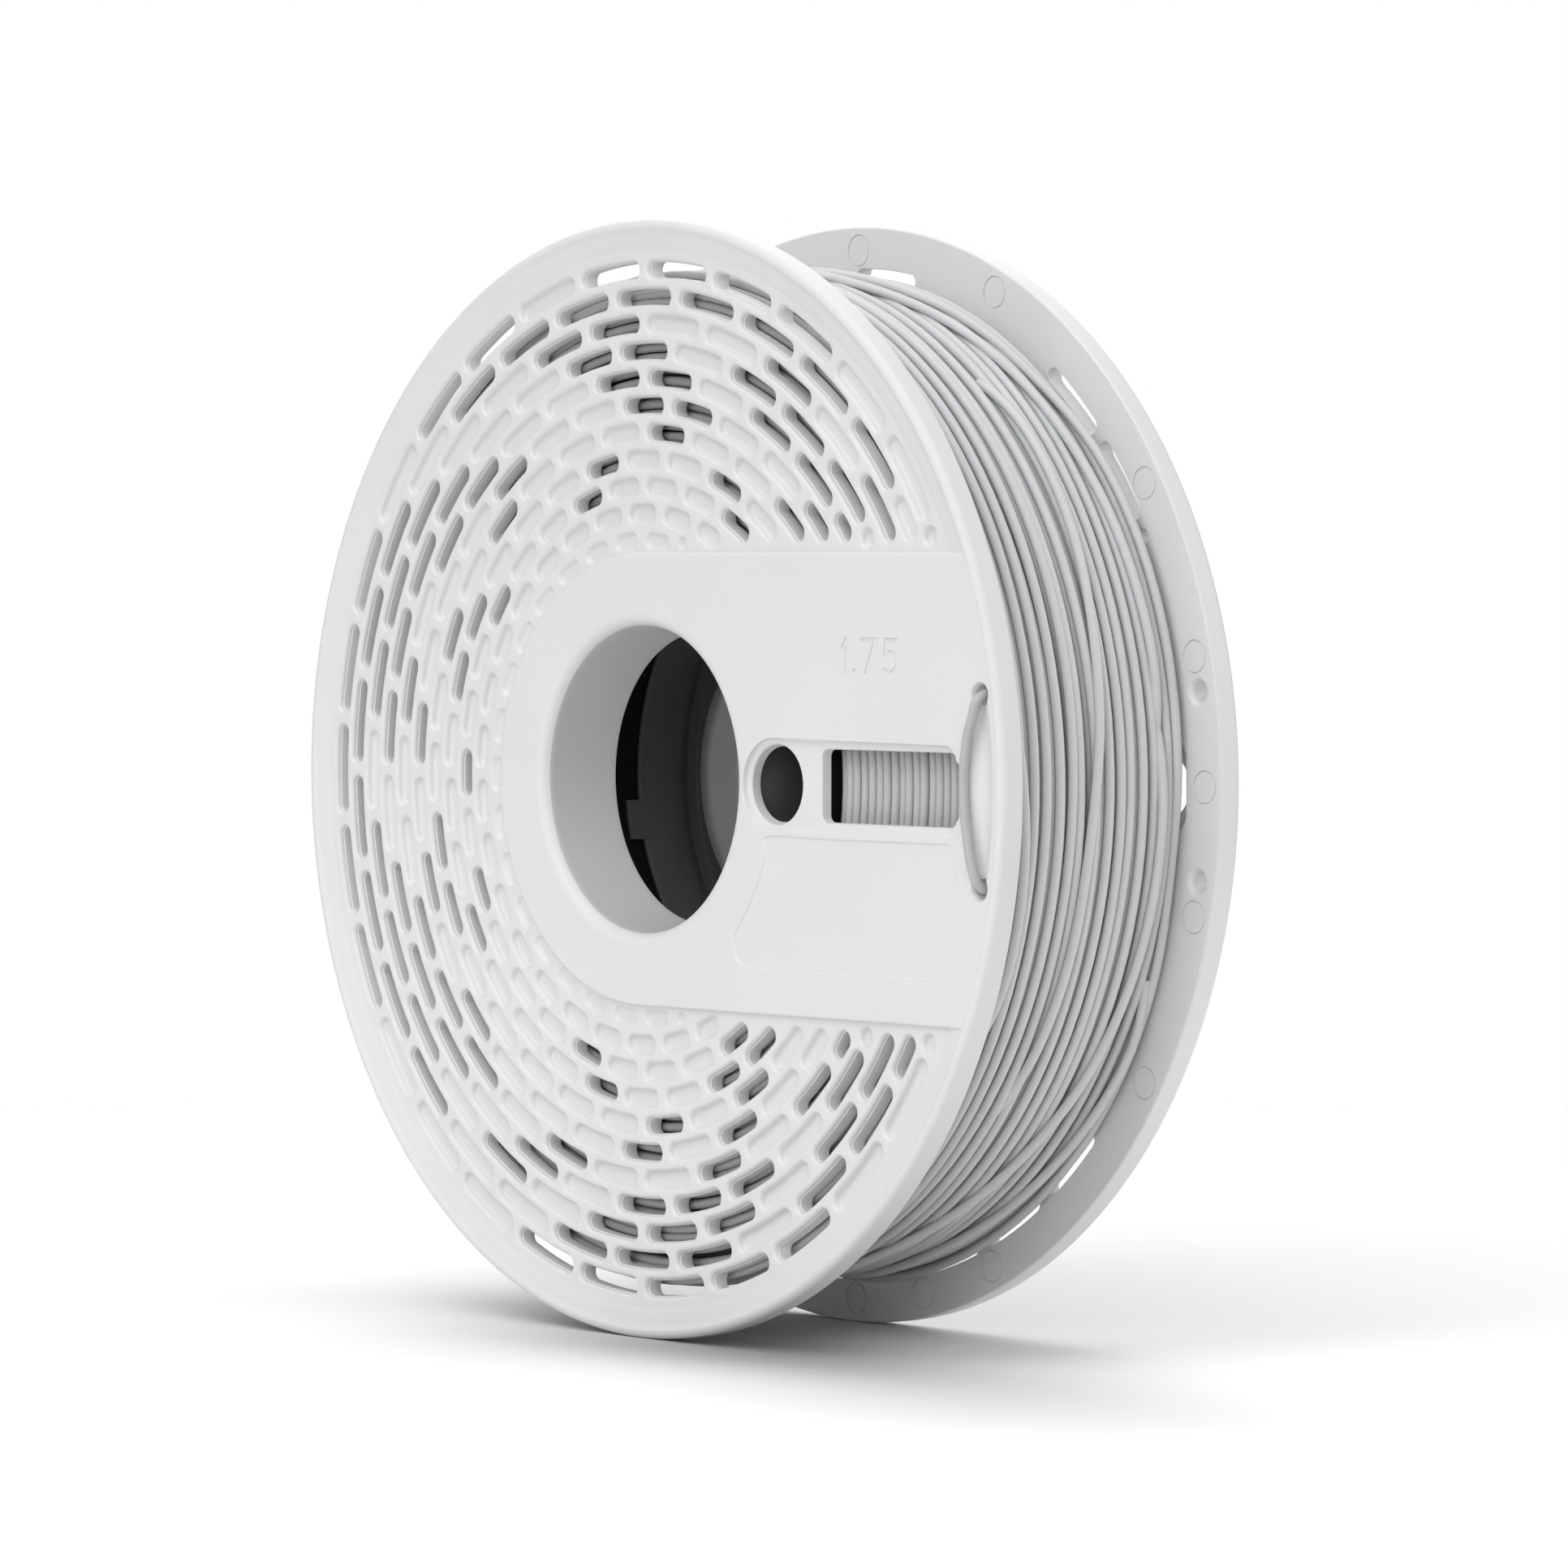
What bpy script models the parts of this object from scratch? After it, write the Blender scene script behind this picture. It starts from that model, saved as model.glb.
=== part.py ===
"""Filament spool: two injection-moulded halves that push together at the drum, a wound
package of 1.75 mm filament, and the filament's free end looped through two clip holes.

Frame: metres, +Z up, spool axis along Y, front flange facing -Y, origin on the spool
axis halfway between the two outer faces. The flat keyhole panel of each half, with the
clip holes and the window, points to +X.
Lengths below are millimetres and angles are degrees from +X towards +Z. Each half is
designed in its own frame: a depth (_D) is measured inwards from that half's outer face,
and a radius (_R) from the spool axis or from the feature's own centre.
"""

import math

import bmesh
import bpy
from mathutils import Vector

MM = 0.001

# ---- flange and face ----------------------------------------------------------------
WIDTH = 54.8  # over both outer faces
BODY_STEPS = 64  # segments round each half
FLANGE_R = 100.0
FLANGE_T = 4.8
EDGE_R = 1.3  # rounding of the rim's outer corner
EDGE_BEVEL = 0.3  # on the rim's inner corner
LIP_R = 98.5  # where the flat lip ends and the shallow dish begins
LIP_D = 0.02  # small straight step at the start of the dish
DISH_R = 94.3  # where the dish reaches the slotted web
WEB_D = 1.1
PANEL_R = 40.2  # panel's half height, and the radius of its round end
PANEL_DRAFT = 0.3  # how much the panel widens down to the web

# ---- bore and its collar ------------------------------------------------------------
BORE_R = 26.25
FLARE_R = 30.6  # where the bore's flared mouth meets the panel
FLARE_D = 5.2
COLLAR_OUT_R = 28.4
COLLAR_D = 16.2
COLLAR_OUT_BEVEL = 0.6
COLLAR_IN_BEVEL = 0.5

# ---- drum joint ---------------------------------------------------------------------
GAP = 0.3
DRUM_OUT_R = 47.6
DRUM_IN_R = 44.4  # front sleeve's inside, where it takes the spigot
SLEEVE_IN_R = DRUM_IN_R + 0.4  # front sleeve's inside, between shoulder and flange
SEAM_D = 37.0  # the front half's sleeve ends here
REAR_END_D = WIDTH - SEAM_D - GAP  # the rear half's sleeve ends here
SPIGOT_OUT_R = 44.1
SPIGOT_IN_R = 42.9
SPIGOT_LEN = 2.7  # the rear half's spigot inside the front sleeve
SPIGOT_BEVEL = 0.4
SHOULDER_R = 43.6  # ring inside the front sleeve, just past the spigot's end
SHOULDER_D = SEAM_D - SPIGOT_LEN - GAP
SHOULDER_W = 2.2
SHOULDER_SLOPE = 0.8  # depth of the shoulder's sloping back

TAB_ANGLES = (12.0, 102.0, 192.0, 282.0)
TAB_LEN = 3.1  # beyond the spigot's end
TAB_W = 7.4
TAB_ROOT = 0.5  # the tab starts this far along the spigot
TAB_IN_R = SPIGOT_IN_R + 0.08
TAB_OUT_R = SPIGOT_OUT_R - 0.15
NOTCH_IN_R = 41.0
NOTCH_OUT_R = DRUM_IN_R - 0.02  # leaves the sleeve wall uncut
NOTCH_START_D = SHOULDER_D - TAB_LEN - 1.5
NOTCH_END_D = SHOULDER_D + 0.6
NOTCH_W = TAB_W + 0.8

# ---- web slots ----------------------------------------------------------------------
SLOT_W = 3.2
SLOT_GAP = 2.3  # bridge between two slots of a ring
SLOTS_PER_RING = 30
RING_FIRST_R = 91.0  # ring 1, the outermost
RING_PITCH = 4.83
PANEL_CLEAR = 2.1  # slots stop this far short of the panel's edge

# Ring number: angles of the slots cut through the web. The places left out stay solid.
THROUGH_FRONT = {
    1: (60, 72, 84, 96, 120, 132, 156, 168, 180, 192, 204, 252, 264, 276, 288, 300),
    2: (42, 54, 66, 78, 90, 102, 114, 126, 150, 162,
        174, 186, 198, 210, 222, 258, 270, 282, 306, 318),
    3: (36, 60, 96, 108, 144, 156, 168, 192, 204, 216, 240, 264, 276, 288, 312, 324),
    4: (42, 54, 66, 90, 102, 138, 150, 162, 174, 198, 210, 222, 246, 270, 282, 294, 318),
    5: (48, 60, 84, 96, 132, 144, 168, 204, 216, 228, 252, 288, 312),
    6: (78, 90, 126, 174, 198, 222, 270, 294),
    7: (84, 132, 156, 192, 204, 276, 300),
    8: (66, 102, 150, 162, 210, 258, 294),
    9: (108, 144, 180, 204, 252),
}
# The rear half mirrors the front's slots top to bottom, except in ring 1.
THROUGH_REAR = {
    ring: tuple(360 - angle for angle in angles) for ring, angles in THROUGH_FRONT.items()
}
THROUGH_REAR[1] = (
    36, 48, 84, 108, 120, 144, 168, 180, 204, 216, 240, 264, 276, 288, 300, 312,
)

# ---- features of the panel ----------------------------------------------------------
CUT_CLEAR = 1.0  # how far cutters reach beyond the surfaces they cut

POCKET_D = 1.15
POCKET_X = (30.0, 87.4)
POCKET_H = 8.2  # half height, and the radius of the round end towards the bore
POCKET_STRAIGHT_X = 38.6  # where the long edges start
POCKET_CORNER = 2.6

EYE_X, EYE_R = 38.3, 6.85  # round hole inside the pocket's round end
WINDOW_X = (50.8, 86.5)
WINDOW_H = 6.35  # half height
WINDOW_CORNER = 1.6  # rounding of the corners nearest the axis
WINDOW_BEVEL = 1.2  # on the corners nearest the rim
BULGE_R = 5.4  # round bulge at the window's end nearest the rim
BULGE_INSET = 1.7  # its centre, in from that end
BULGE_ANGLE = 71  # its arc, to either side of +X

CLIP_X, CLIP_Z, CLIP_R = 93.85, 16.5, 1.6

SCOOP_R = 94.2  # centre line of the scoop
SCOOP_W = 3.4  # half width at the middle
SCOOP_END_W = 1.0  # half width at the ends
SCOOP_MIN_W = 0.5
SCOOP_D = 1.2
SCOOP_STEPS = 6

# Field for a label, on the -Z side of the window: (x, z) points.
LABEL_D = 0.3
LABEL_OUTLINE = [
    # edge towards the bore
    (36.2, -9.6), (35.6, -13.0), (34.2, -16.5), (32.2, -20.0), (29.8, -23.4), (27.6, -26.4),
    # lower corner
    (27.2, -28.6), (28.2, -30.8), (30.6, -32.2),
    # edge towards the rim
    (81.6, -32.2), (84.6, -30.4), (86.6, -27.6), (88.2, -22.5), (88.6, -18.0),
    (87.6, -13.0), (85.4, -9.6),
]

# ---- filament -----------------------------------------------------------------------
COIL_STEPS = 48
COIL_IN_R = DRUM_OUT_R + GAP
COIL_OUT_R = 91.4
COIL_SIDE_GAP = 0.4
COIL_EDGE_R = COIL_OUT_R - 1.6  # where the coil's flat sides end
COIL_EDGE_W = 0.6  # width of the bevel between side and crown
CROWN_DROP = 0.9  # from the crown's middle to its edges
CROWN_STEPS = 4

STRAND_R = 0.875
STRAND_SIDES = 8
KNOT_STEPS = 3  # curve points per knot
OVER_D = -STRAND_R - 0.15  # centre line where the strand lies over the face

# Free end's centre line, from inside the flange out through the upper clip hole, over
# the face and in through the lower one: (x, depth, z).
TAIL_KNOTS = [
    (CLIP_X, 6.4, CLIP_Z),
    (CLIP_X, 3.2, CLIP_Z),
    (CLIP_X, 1.2, CLIP_Z),
    (93.6, -0.6, CLIP_Z - 1.2),
    (92.2, OVER_D, 12.8),
    (90.6, OVER_D, 9.0),
    (89.8, OVER_D, 4.2),
    (89.9, OVER_D, 0.0),
    (90.6, OVER_D, -4.8),
    (91.8, OVER_D, -10.4),
    (92.7, OVER_D, -13.0),
    (93.7, -0.6, 1.2 - CLIP_Z),
    (CLIP_X, 1.2, -CLIP_Z),
    (CLIP_X, 3.2, -CLIP_Z),
    (CLIP_X, 6.4, -CLIP_Z),
]

# ---- finish -------------------------------------------------------------------------
FILAMENT_GREY = (0.42, 0.42, 0.44, 1.0)
SHELL_WHITE = (0.80, 0.80, 0.80, 1.0)
SHARP_ANGLE = 32  # edges that turn more than this stay sharp


# ---- scene helpers ------------------------------------------------------------------
def clear_scene():
    for obj in list(bpy.data.objects):
        bpy.data.objects.remove(obj, do_unlink=True)


def make_material(name, colour, roughness):
    material = bpy.data.materials.new(name)
    material.use_nodes = True
    bsdf = material.node_tree.nodes["Principled BSDF"]
    bsdf.inputs["Base Color"].default_value = colour
    bsdf.inputs["Roughness"].default_value = roughness
    return material


def object_from(build, name):
    bmesh.ops.recalc_face_normals(build, faces=build.faces)
    mesh = bpy.data.meshes.new(name)
    build.to_mesh(mesh)
    build.free()
    obj = bpy.data.objects.new(name, mesh)
    bpy.context.scene.collection.objects.link(obj)
    return obj


def boolean(obj, other, operation, name):
    other.hide_render = True
    other.display_type = "WIRE"
    modifier = obj.modifiers.new(name, "BOOLEAN")
    modifier.operation = operation
    modifier.solver = "EXACT"
    modifier.object = other


def finish(obj, material):
    obj.data.materials.append(material)
    obj.data.shade_smooth()
    obj.data.set_sharp_from_angle(angle=math.radians(SHARP_ANGLE))


class Half:
    """Places a half's own (x, depth, z) point in the spool's frame, in metres."""

    def __init__(self, sign):
        self.sign = sign  # side of the origin along Y

    def at(self, x, depth, z):
        return Vector((x, self.sign * (WIDTH / 2 - depth), z)) * MM


FRONT, REAR = Half(-1), Half(1)


# ---- solids -------------------------------------------------------------------------
def skin(build, rows, closed=False):
    """Joins rows of points into a solid, capped at both ends or closed into a loop."""
    rows = [[build.verts.new(point) for point in row] for row in rows]
    count = len(rows[0])
    for here, there in zip(rows, rows[1:] + (rows[:1] if closed else [])):
        for i in range(count):
            j = (i + 1) % count
            build.faces.new((here[i], here[j], there[j], there[i]))
    if not closed:
        build.faces.new(rows[0])
        build.faces.new(list(reversed(rows[-1])))


def lathe(name, half, profile, steps):
    """Turns a closed (radius, depth) profile round the spool axis."""
    rows = []
    for k in range(steps):
        turn = 2 * math.pi * k / steps
        rows.append([
            half.at(radius * math.cos(turn), depth, radius * math.sin(turn))
            for radius, depth in profile
        ])
    build = bmesh.new()
    skin(build, rows, closed=True)
    return object_from(build, name)


def loft_object(name, half, lofts):
    """One object of many lofts, each a list of (outline, depth) layers."""
    build = bmesh.new()
    for layers in lofts:
        skin(build, [[half.at(x, depth, z) for x, z in outline] for outline, depth in layers])
    return object_from(build, name)


def cut_to(depth, outline):
    """Straight loft from outside the face down to a depth."""
    return [(outline, -CUT_CLEAR), (outline, depth)]


def cut_through(outline):
    return cut_to(FLANGE_T + CUT_CLEAR, outline)


# ---- outlines, as (x, z) points -----------------------------------------------------
def polar(radius, angle):
    """Point at an angle in radians."""
    return radius * math.cos(angle), radius * math.sin(angle)


def arc(centre_x, centre_z, radius, start, end, steps):
    points = []
    for k in range(steps + 1):
        x, z = polar(radius, math.radians(start + (end - start) * k / steps))
        points.append((centre_x + x, centre_z + z))
    return points


def circle(centre_x, centre_z, radius, sides):
    return arc(centre_x, centre_z, radius, 0, 360 - 360 / sides, sides - 1)


def recess_outline(radius, grow):
    """A circle less the keyhole panel, with the panel widened by grow."""
    panel = PANEL_R + grow
    edge = math.degrees(math.asin(panel / radius))
    return arc(0, 0, radius, edge, 360 - edge, 40) + arc(0, 0, panel, 270, 90, 20)


def slot_outline(ring, angle):
    """One round-ended slot of a ring, cut short where it nears the panel."""
    ring_r = RING_FIRST_R - RING_PITCH * (ring - 1)
    half_w = SLOT_W / 2
    cap = half_w / ring_r  # angle taken up by a round end
    middle = math.radians(angle)
    reach = math.radians(180.0 / SLOTS_PER_RING) - (SLOT_GAP / 2) / ring_r
    start, end = middle - reach, middle + reach
    if math.cos(middle) > 0:
        # the round end's centre stays half a width beyond the clearance line
        limit = math.asin((PANEL_R + PANEL_CLEAR + half_w) / ring_r)
        if math.sin(middle) > 0:
            start = max(start, limit - cap)
        else:
            end = min(end, 2 * math.pi - limit + cap)
    points = []
    for centre, turn in ((end - cap, 0), (start + cap, 180)):
        base = math.degrees(centre) + turn
        points += arc(*polar(ring_r, centre), half_w, base, base + 180, 2)
    return points


def pocket_outline():
    """Rounded corners towards the rim and a round end towards the bore."""
    corner_x = POCKET_X[1] - POCKET_CORNER
    corner_z = POCKET_H - POCKET_CORNER
    return (
        arc(corner_x, corner_z, POCKET_CORNER, 0, 90, 3)
        + [(POCKET_STRAIGHT_X, POCKET_H)]
        + arc(POCKET_X[0] + POCKET_H, 0, POCKET_H, 105, 255, 10)
        + [(POCKET_STRAIGHT_X, -POCKET_H)]
        + arc(corner_x, -corner_z, POCKET_CORNER, 270, 360, 3)
    )


def window_outline():
    """Rectangle with a round bulge at the end nearest the rim."""
    near, far = WINDOW_X
    corner_x = near + WINDOW_CORNER
    corner_z = WINDOW_H - WINDOW_CORNER
    return (
        arc(far - BULGE_INSET, 0, BULGE_R, -BULGE_ANGLE, BULGE_ANGLE, 6)
        + [(far, WINDOW_H - WINDOW_BEVEL), (far - WINDOW_BEVEL, WINDOW_H)]
        + arc(corner_x, corner_z, WINDOW_CORNER, 90, 180, 2)
        + arc(corner_x, -corner_z, WINDOW_CORNER, 180, 270, 2)
        + [(far - WINDOW_BEVEL, -WINDOW_H), (far, -WINDOW_H + WINDOW_BEVEL)]
    )


def scoop_outline(inset):
    """The scoop that follows the rim between the two clip holes."""
    span = math.degrees(math.asin(CLIP_Z / SCOOP_R))
    outer, inner = [], []
    for k in range(SCOOP_STEPS + 1):
        along = k / SCOOP_STEPS
        angle = math.radians(-span + 2 * span * along)
        swell = (SCOOP_W - SCOOP_END_W) * math.sin(math.pi * along)
        half_w = max(SCOOP_MIN_W, SCOOP_END_W + swell - inset)
        outer.append(polar(SCOOP_R + half_w, angle))
        inner.append(polar(SCOOP_R - half_w, angle))
    return outer + list(reversed(inner))


# ---- cuts in a half's face ----------------------------------------------------------
def recess_lofts():
    top = recess_outline(LIP_R, 0.0)
    return [cut_to(LIP_D, top) + [(recess_outline(DISH_R, PANEL_DRAFT), WEB_D)]]


def slot_lofts(table):
    return [
        cut_through(slot_outline(ring, angle))
        for ring, angles in table.items()
        for angle in angles
    ]


def hole_lofts():
    outlines = [circle(EYE_X, 0, EYE_R, 12), window_outline()]
    outlines += [circle(CLIP_X, side * CLIP_Z, CLIP_R, 8) for side in (1, -1)]
    return [cut_through(outline) for outline in outlines]


def scoop_lofts():
    # (inset, depth): the scoop narrows as it deepens
    layers = ((-0.1, -CUT_CLEAR), (0.0, 0.0), (1.0, 0.7 * SCOOP_D), (2.2, SCOOP_D))
    return [[(scoop_outline(inset), depth) for inset, depth in layers]]


def cut_face(obj, half, table, tag):
    # cutter's name, modifier's name, lofts
    cuts = (
        ("recess", "web_recess", recess_lofts()),
        ("slot", "slots", slot_lofts(table)),
        ("label", "label_field", [cut_to(LABEL_D, LABEL_OUTLINE)]),
        ("pocket", "pocket", [cut_to(POCKET_D, pocket_outline())]),
        ("hole", "holes", hole_lofts()),
        ("scoop", "scoop", scoop_lofts()),
    )
    for cutter_name, modifier_name, lofts in cuts:
        cutter = loft_object(f"{tag}_{cutter_name}_cutter", half, lofts)
        boolean(obj, cutter, "DIFFERENCE", modifier_name)


# ---- the two mouldings --------------------------------------------------------------
def rim_profile():
    rounding = []
    for angle in (0, 45, 90):
        turn = math.radians(angle)
        radius = FLANGE_R - EDGE_R + EDGE_R * math.sin(turn)
        rounding.append((radius, EDGE_R - EDGE_R * math.cos(turn)))
    return rounding + [(FLANGE_R, FLANGE_T - EDGE_BEVEL), (FLANGE_R - EDGE_BEVEL, FLANGE_T)]


def collar_profile():
    return [
        (COLLAR_OUT_R, FLANGE_T),
        (COLLAR_OUT_R, COLLAR_D - COLLAR_OUT_BEVEL),
        (COLLAR_OUT_R - COLLAR_OUT_BEVEL, COLLAR_D),
        (BORE_R + COLLAR_IN_BEVEL, COLLAR_D),
        (BORE_R, COLLAR_D - COLLAR_IN_BEVEL),
    ]


def mouth_profile():
    """From the bore out through its flared mouth to the panel."""
    points = []
    for angle in (90, 60, 30, 0):
        turn = math.radians(angle)
        radius = BORE_R + (FLARE_R - BORE_R) * (1 - math.sin(turn))
        points.append((radius, FLARE_D * (1 - math.cos(turn))))
    return points


def moulding(tag, half, sleeve, table):
    """Turned body of a half, with its face cut."""
    profile = rim_profile() + sleeve + collar_profile() + mouth_profile()
    obj = lathe(f"{tag}_flange", half, profile, BODY_STEPS)
    cut_face(obj, half, table, tag)
    return obj


def wall_pieces(name, half, radii, depths, width):
    """Pieces of a tube wall at the tab angles: the tabs, or the notches that take them."""
    inner, outer = radii
    span = math.degrees(width / 2 / ((inner + outer) / 2))
    lofts = []
    for angle in TAB_ANGLES:
        outline = arc(0, 0, outer, angle - span, angle + span, 4)
        outline += arc(0, 0, inner, angle + span, angle - span, 4)
        lofts.append([(outline, depth) for depth in depths])
    return loft_object(name, half, lofts)


def front_half():
    shoulder_back = SHOULDER_D - SHOULDER_W
    sleeve = [
        (DRUM_OUT_R, FLANGE_T),
        (DRUM_OUT_R, SEAM_D),
        (DRUM_IN_R, SEAM_D),
        (DRUM_IN_R, SHOULDER_D),
        (SHOULDER_R, SHOULDER_D),
        (SHOULDER_R, shoulder_back),
        (SLEEVE_IN_R, shoulder_back - SHOULDER_SLOPE),
        (SLEEVE_IN_R, FLANGE_T),
    ]
    obj = moulding("front", FRONT, sleeve, THROUGH_FRONT)
    notches = wall_pieces(
        "front_notch_cutter",
        FRONT,
        radii=(NOTCH_IN_R, NOTCH_OUT_R),
        depths=(NOTCH_START_D, NOTCH_END_D),
        width=NOTCH_W,
    )
    boolean(obj, notches, "DIFFERENCE", "tab_notches")
    return obj


def rear_half():
    spigot_end = REAR_END_D + SPIGOT_LEN
    sleeve = [
        (DRUM_OUT_R, FLANGE_T),
        (DRUM_OUT_R, REAR_END_D),
        (SPIGOT_OUT_R, REAR_END_D),
        (SPIGOT_OUT_R, spigot_end - SPIGOT_BEVEL),
        (SPIGOT_OUT_R - SPIGOT_BEVEL, spigot_end),
        (SPIGOT_IN_R, spigot_end),
        (SPIGOT_IN_R, FLANGE_T),
    ]
    obj = moulding("rear", REAR, sleeve, THROUGH_REAR)
    tabs = wall_pieces(
        "rear_tab_adder",
        REAR,
        radii=(TAB_IN_R, TAB_OUT_R),
        depths=(REAR_END_D + TAB_ROOT, spigot_end + TAB_LEN),
        width=TAB_W,
    )
    boolean(obj, tabs, "UNION", "snap_tabs")
    return obj


# ---- the filament -------------------------------------------------------------------
def winding():
    """The wound package as one closed ring with a slightly crowned outside."""
    start = FLANGE_T + COIL_SIDE_GAP
    end = WIDTH - FLANGE_T - COIL_SIDE_GAP
    profile = [(COIL_IN_R, start), (COIL_EDGE_R, start)]
    for k in range(CROWN_STEPS + 1):
        along = k / CROWN_STEPS
        radius = COIL_OUT_R - CROWN_DROP * abs(2 * along - 1) ** 3
        depth = start + COIL_EDGE_W + (end - start - 2 * COIL_EDGE_W) * along
        profile.append((radius, depth))
    profile += [(COIL_EDGE_R, end), (COIL_IN_R, end)]
    return lathe("filament_winding", FRONT, profile, COIL_STEPS)


def tail_path():
    """Catmull-Rom curve through the knots, with one more knot added past each end."""
    knots = [Vector(knot) for knot in TAIL_KNOTS]
    knots = [2 * knots[0] - knots[1]] + knots + [2 * knots[-1] - knots[-2]]
    path = []
    for before, here, there, after in zip(knots, knots[1:], knots[2:], knots[3:]):
        for k in range(KNOT_STEPS):
            t = k / KNOT_STEPS
            linear = (there - before) * t
            square = (2 * before - 5 * here + 4 * there - after) * t * t
            cubic = (3 * here - before - 3 * there + after) * t**3
            path.append(0.5 * (2 * here + linear + square + cubic))
    path.append(knots[-2])
    return [FRONT.at(*point) for point in path]


def tail():
    """The free end: a round strand swept along its path without twisting."""
    path = tail_path()
    side = Vector((1, 0, 0))
    rows = []
    for i, point in enumerate(path):
        ahead = path[min(i + 1, len(path) - 1)] - path[max(i - 1, 0)]
        ahead.normalize()
        side = (side - ahead * side.dot(ahead)).normalized()
        across = ahead.cross(side)
        row = []
        for k in range(STRAND_SIDES):
            turn = 2 * math.pi * k / STRAND_SIDES
            spoke = side * math.cos(turn) + across * math.sin(turn)
            row.append(point + spoke * STRAND_R * MM)
        rows.append(row)
    build = bmesh.new()
    skin(build, rows)
    return object_from(build, "filament_tail")


def main():
    clear_scene()
    shell = make_material("shell_white", colour=SHELL_WHITE, roughness=0.42)
    grey = make_material("filament_grey", colour=FILAMENT_GREY, roughness=0.5)
    finish(front_half(), shell)
    finish(rear_half(), shell)
    finish(winding(), grey)
    finish(tail(), grey)


main()
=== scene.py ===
"""A filament spool: two flange mouldings, a wound grey strand and its free end, in a studio.

The spool's axis lies along Y, with the front face towards -Y. Each flange has a panel that
runs from its middle out towards +X. The spool stands on a floor at its lowest point, -Z.
Sizes are in millimetres, and a half is described by x, z and a depth from its outer face.
"""
import math

import bmesh
import bpy
import numpy as np
from mathutils import Matrix, Vector
from mathutils.geometry import delaunay_2d_cdt


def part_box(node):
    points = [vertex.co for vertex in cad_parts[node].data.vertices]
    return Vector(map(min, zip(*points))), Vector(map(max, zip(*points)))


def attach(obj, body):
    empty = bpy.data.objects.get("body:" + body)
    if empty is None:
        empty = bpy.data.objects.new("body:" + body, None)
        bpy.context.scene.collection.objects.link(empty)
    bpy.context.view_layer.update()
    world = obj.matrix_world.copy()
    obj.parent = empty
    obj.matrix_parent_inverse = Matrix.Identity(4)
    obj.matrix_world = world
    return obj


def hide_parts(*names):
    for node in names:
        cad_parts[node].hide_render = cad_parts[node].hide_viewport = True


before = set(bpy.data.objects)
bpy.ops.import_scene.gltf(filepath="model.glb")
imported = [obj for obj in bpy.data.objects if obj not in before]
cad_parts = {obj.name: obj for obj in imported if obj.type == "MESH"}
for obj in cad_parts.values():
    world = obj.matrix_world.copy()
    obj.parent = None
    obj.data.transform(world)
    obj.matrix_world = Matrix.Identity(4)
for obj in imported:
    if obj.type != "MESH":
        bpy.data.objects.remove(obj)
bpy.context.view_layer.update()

MM = 0.001
rng = np.random.default_rng(11)

# ---- driving sizes, taken from the frame where it has them ---------------------------
WIDTH = (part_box("rear_flange")[1][1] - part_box("front_flange")[0][1]) / MM
FLANGE_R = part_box("front_flange")[1][0] / MM
COIL_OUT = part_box("filament_winding")[1][2] / MM

FLANGE_T = 4.8
EDGE_R = 1.3  # rounding of the flange's outer edge
LIP_R = 98.5
DISH_R = 94.3  # where the dish meets the slotted web
WEB_D = 1.1
PANEL_D = 0.15
PANEL_R = 40.2  # half the panel's height, and the radius of its round end

BORE_R = 26.25
BORE_FRONT = 27.4  # the bore's wall has some draft, and is widest at the face
MOUTH_R = 2.7  # depth and width of the rounding at the bore's mouth
MOUTH_W = 2.5
COLLAR_OUT = 28.4
FRONT_COLLAR_D = 16.2
REAR_COLLAR_D = 17.7

DRUM_OUT = 47.6
DRUM_IN = 45.2
SPIGOT_IN, SPIGOT_OUT = 42.9, 43.95
SEAM_D = 37.0  # depth of the seam between the two sleeves, from the front face
SEAM_GAP = 0.3
TAB_ANGLES = (12.0, 102.0, 192.0, 282.0)
TAB_HALF = math.degrees(7.4 / 2 / 43.4)
TAB_LENGTH = 3.1

STRAND = 0.875  # the strand's radius

# A unit rounding: (depth, offset)
ROUND = [(0.0, 1.0), (0.26, 0.61), (0.6, 0.25), (1.0, 0.0)]

# The dish from the web up to the lip: (radius, depth)
DISH = [
    (DISH_R, WEB_D), (94.7, 1.0), (95.3, 0.80), (96.2, 0.64),
    (97.2, 0.48), (97.9, 0.30), (98.25, 0.08), (LIP_R, 0.0),
]
PANEL_ROW = 5  # the dish station where the panel's face ends

# The panel's edge from the web up to its face: (offset from PANEL_R, depth)
PANEL_EDGE = [
    (0.55, 1.10), (0.4, 1.06), (0.28, 0.93), (0.22, 0.62),
    (0.16, 0.38), (0.04, 0.24), (-0.16, 0.17), (-0.42, PANEL_D),
]

# ---- the web's slots, in rings counted from the outside ------------------------------
SLOT_W = 3.2
SLOT_ROUND = 0.55
SLOT_GAP = 2.3
RING_FIRST = 91.0
RING_PITCH = 4.83
RINGS = 11
STEP_DEG = 12.0

# Ring: angles in degrees of the slots that go right through; the others are blind
OPEN_FRONT = {
    1: (60, 72, 84, 96, 120, 132, 156, 168, 180, 192, 204, 252, 264, 276, 288, 300),
    2: (42, 54, 66, 78, 90, 102, 114, 126, 150, 162, 174,
        186, 198, 210, 222, 258, 270, 282, 306, 318, 330),
    3: (36, 60, 96, 108, 144, 156, 168, 192, 204, 216, 240, 264, 276, 288, 312, 324),
    4: (30, 42, 54, 66, 90, 102, 138, 150, 162, 174,
        198, 210, 222, 246, 270, 282, 294, 318, 330),
    5: (36, 48, 60, 84, 96, 132, 144, 168, 204, 216, 228, 252, 288, 312, 324),
    6: (42, 78, 90, 126, 174, 198, 222, 270, 294),
    7: (48, 84, 132, 156, 192, 204, 276, 300),
    8: (66, 102, 150, 162, 210, 258, 294, 306),
    9: (60, 108, 144, 180, 204, 252, 300),
}
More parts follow.
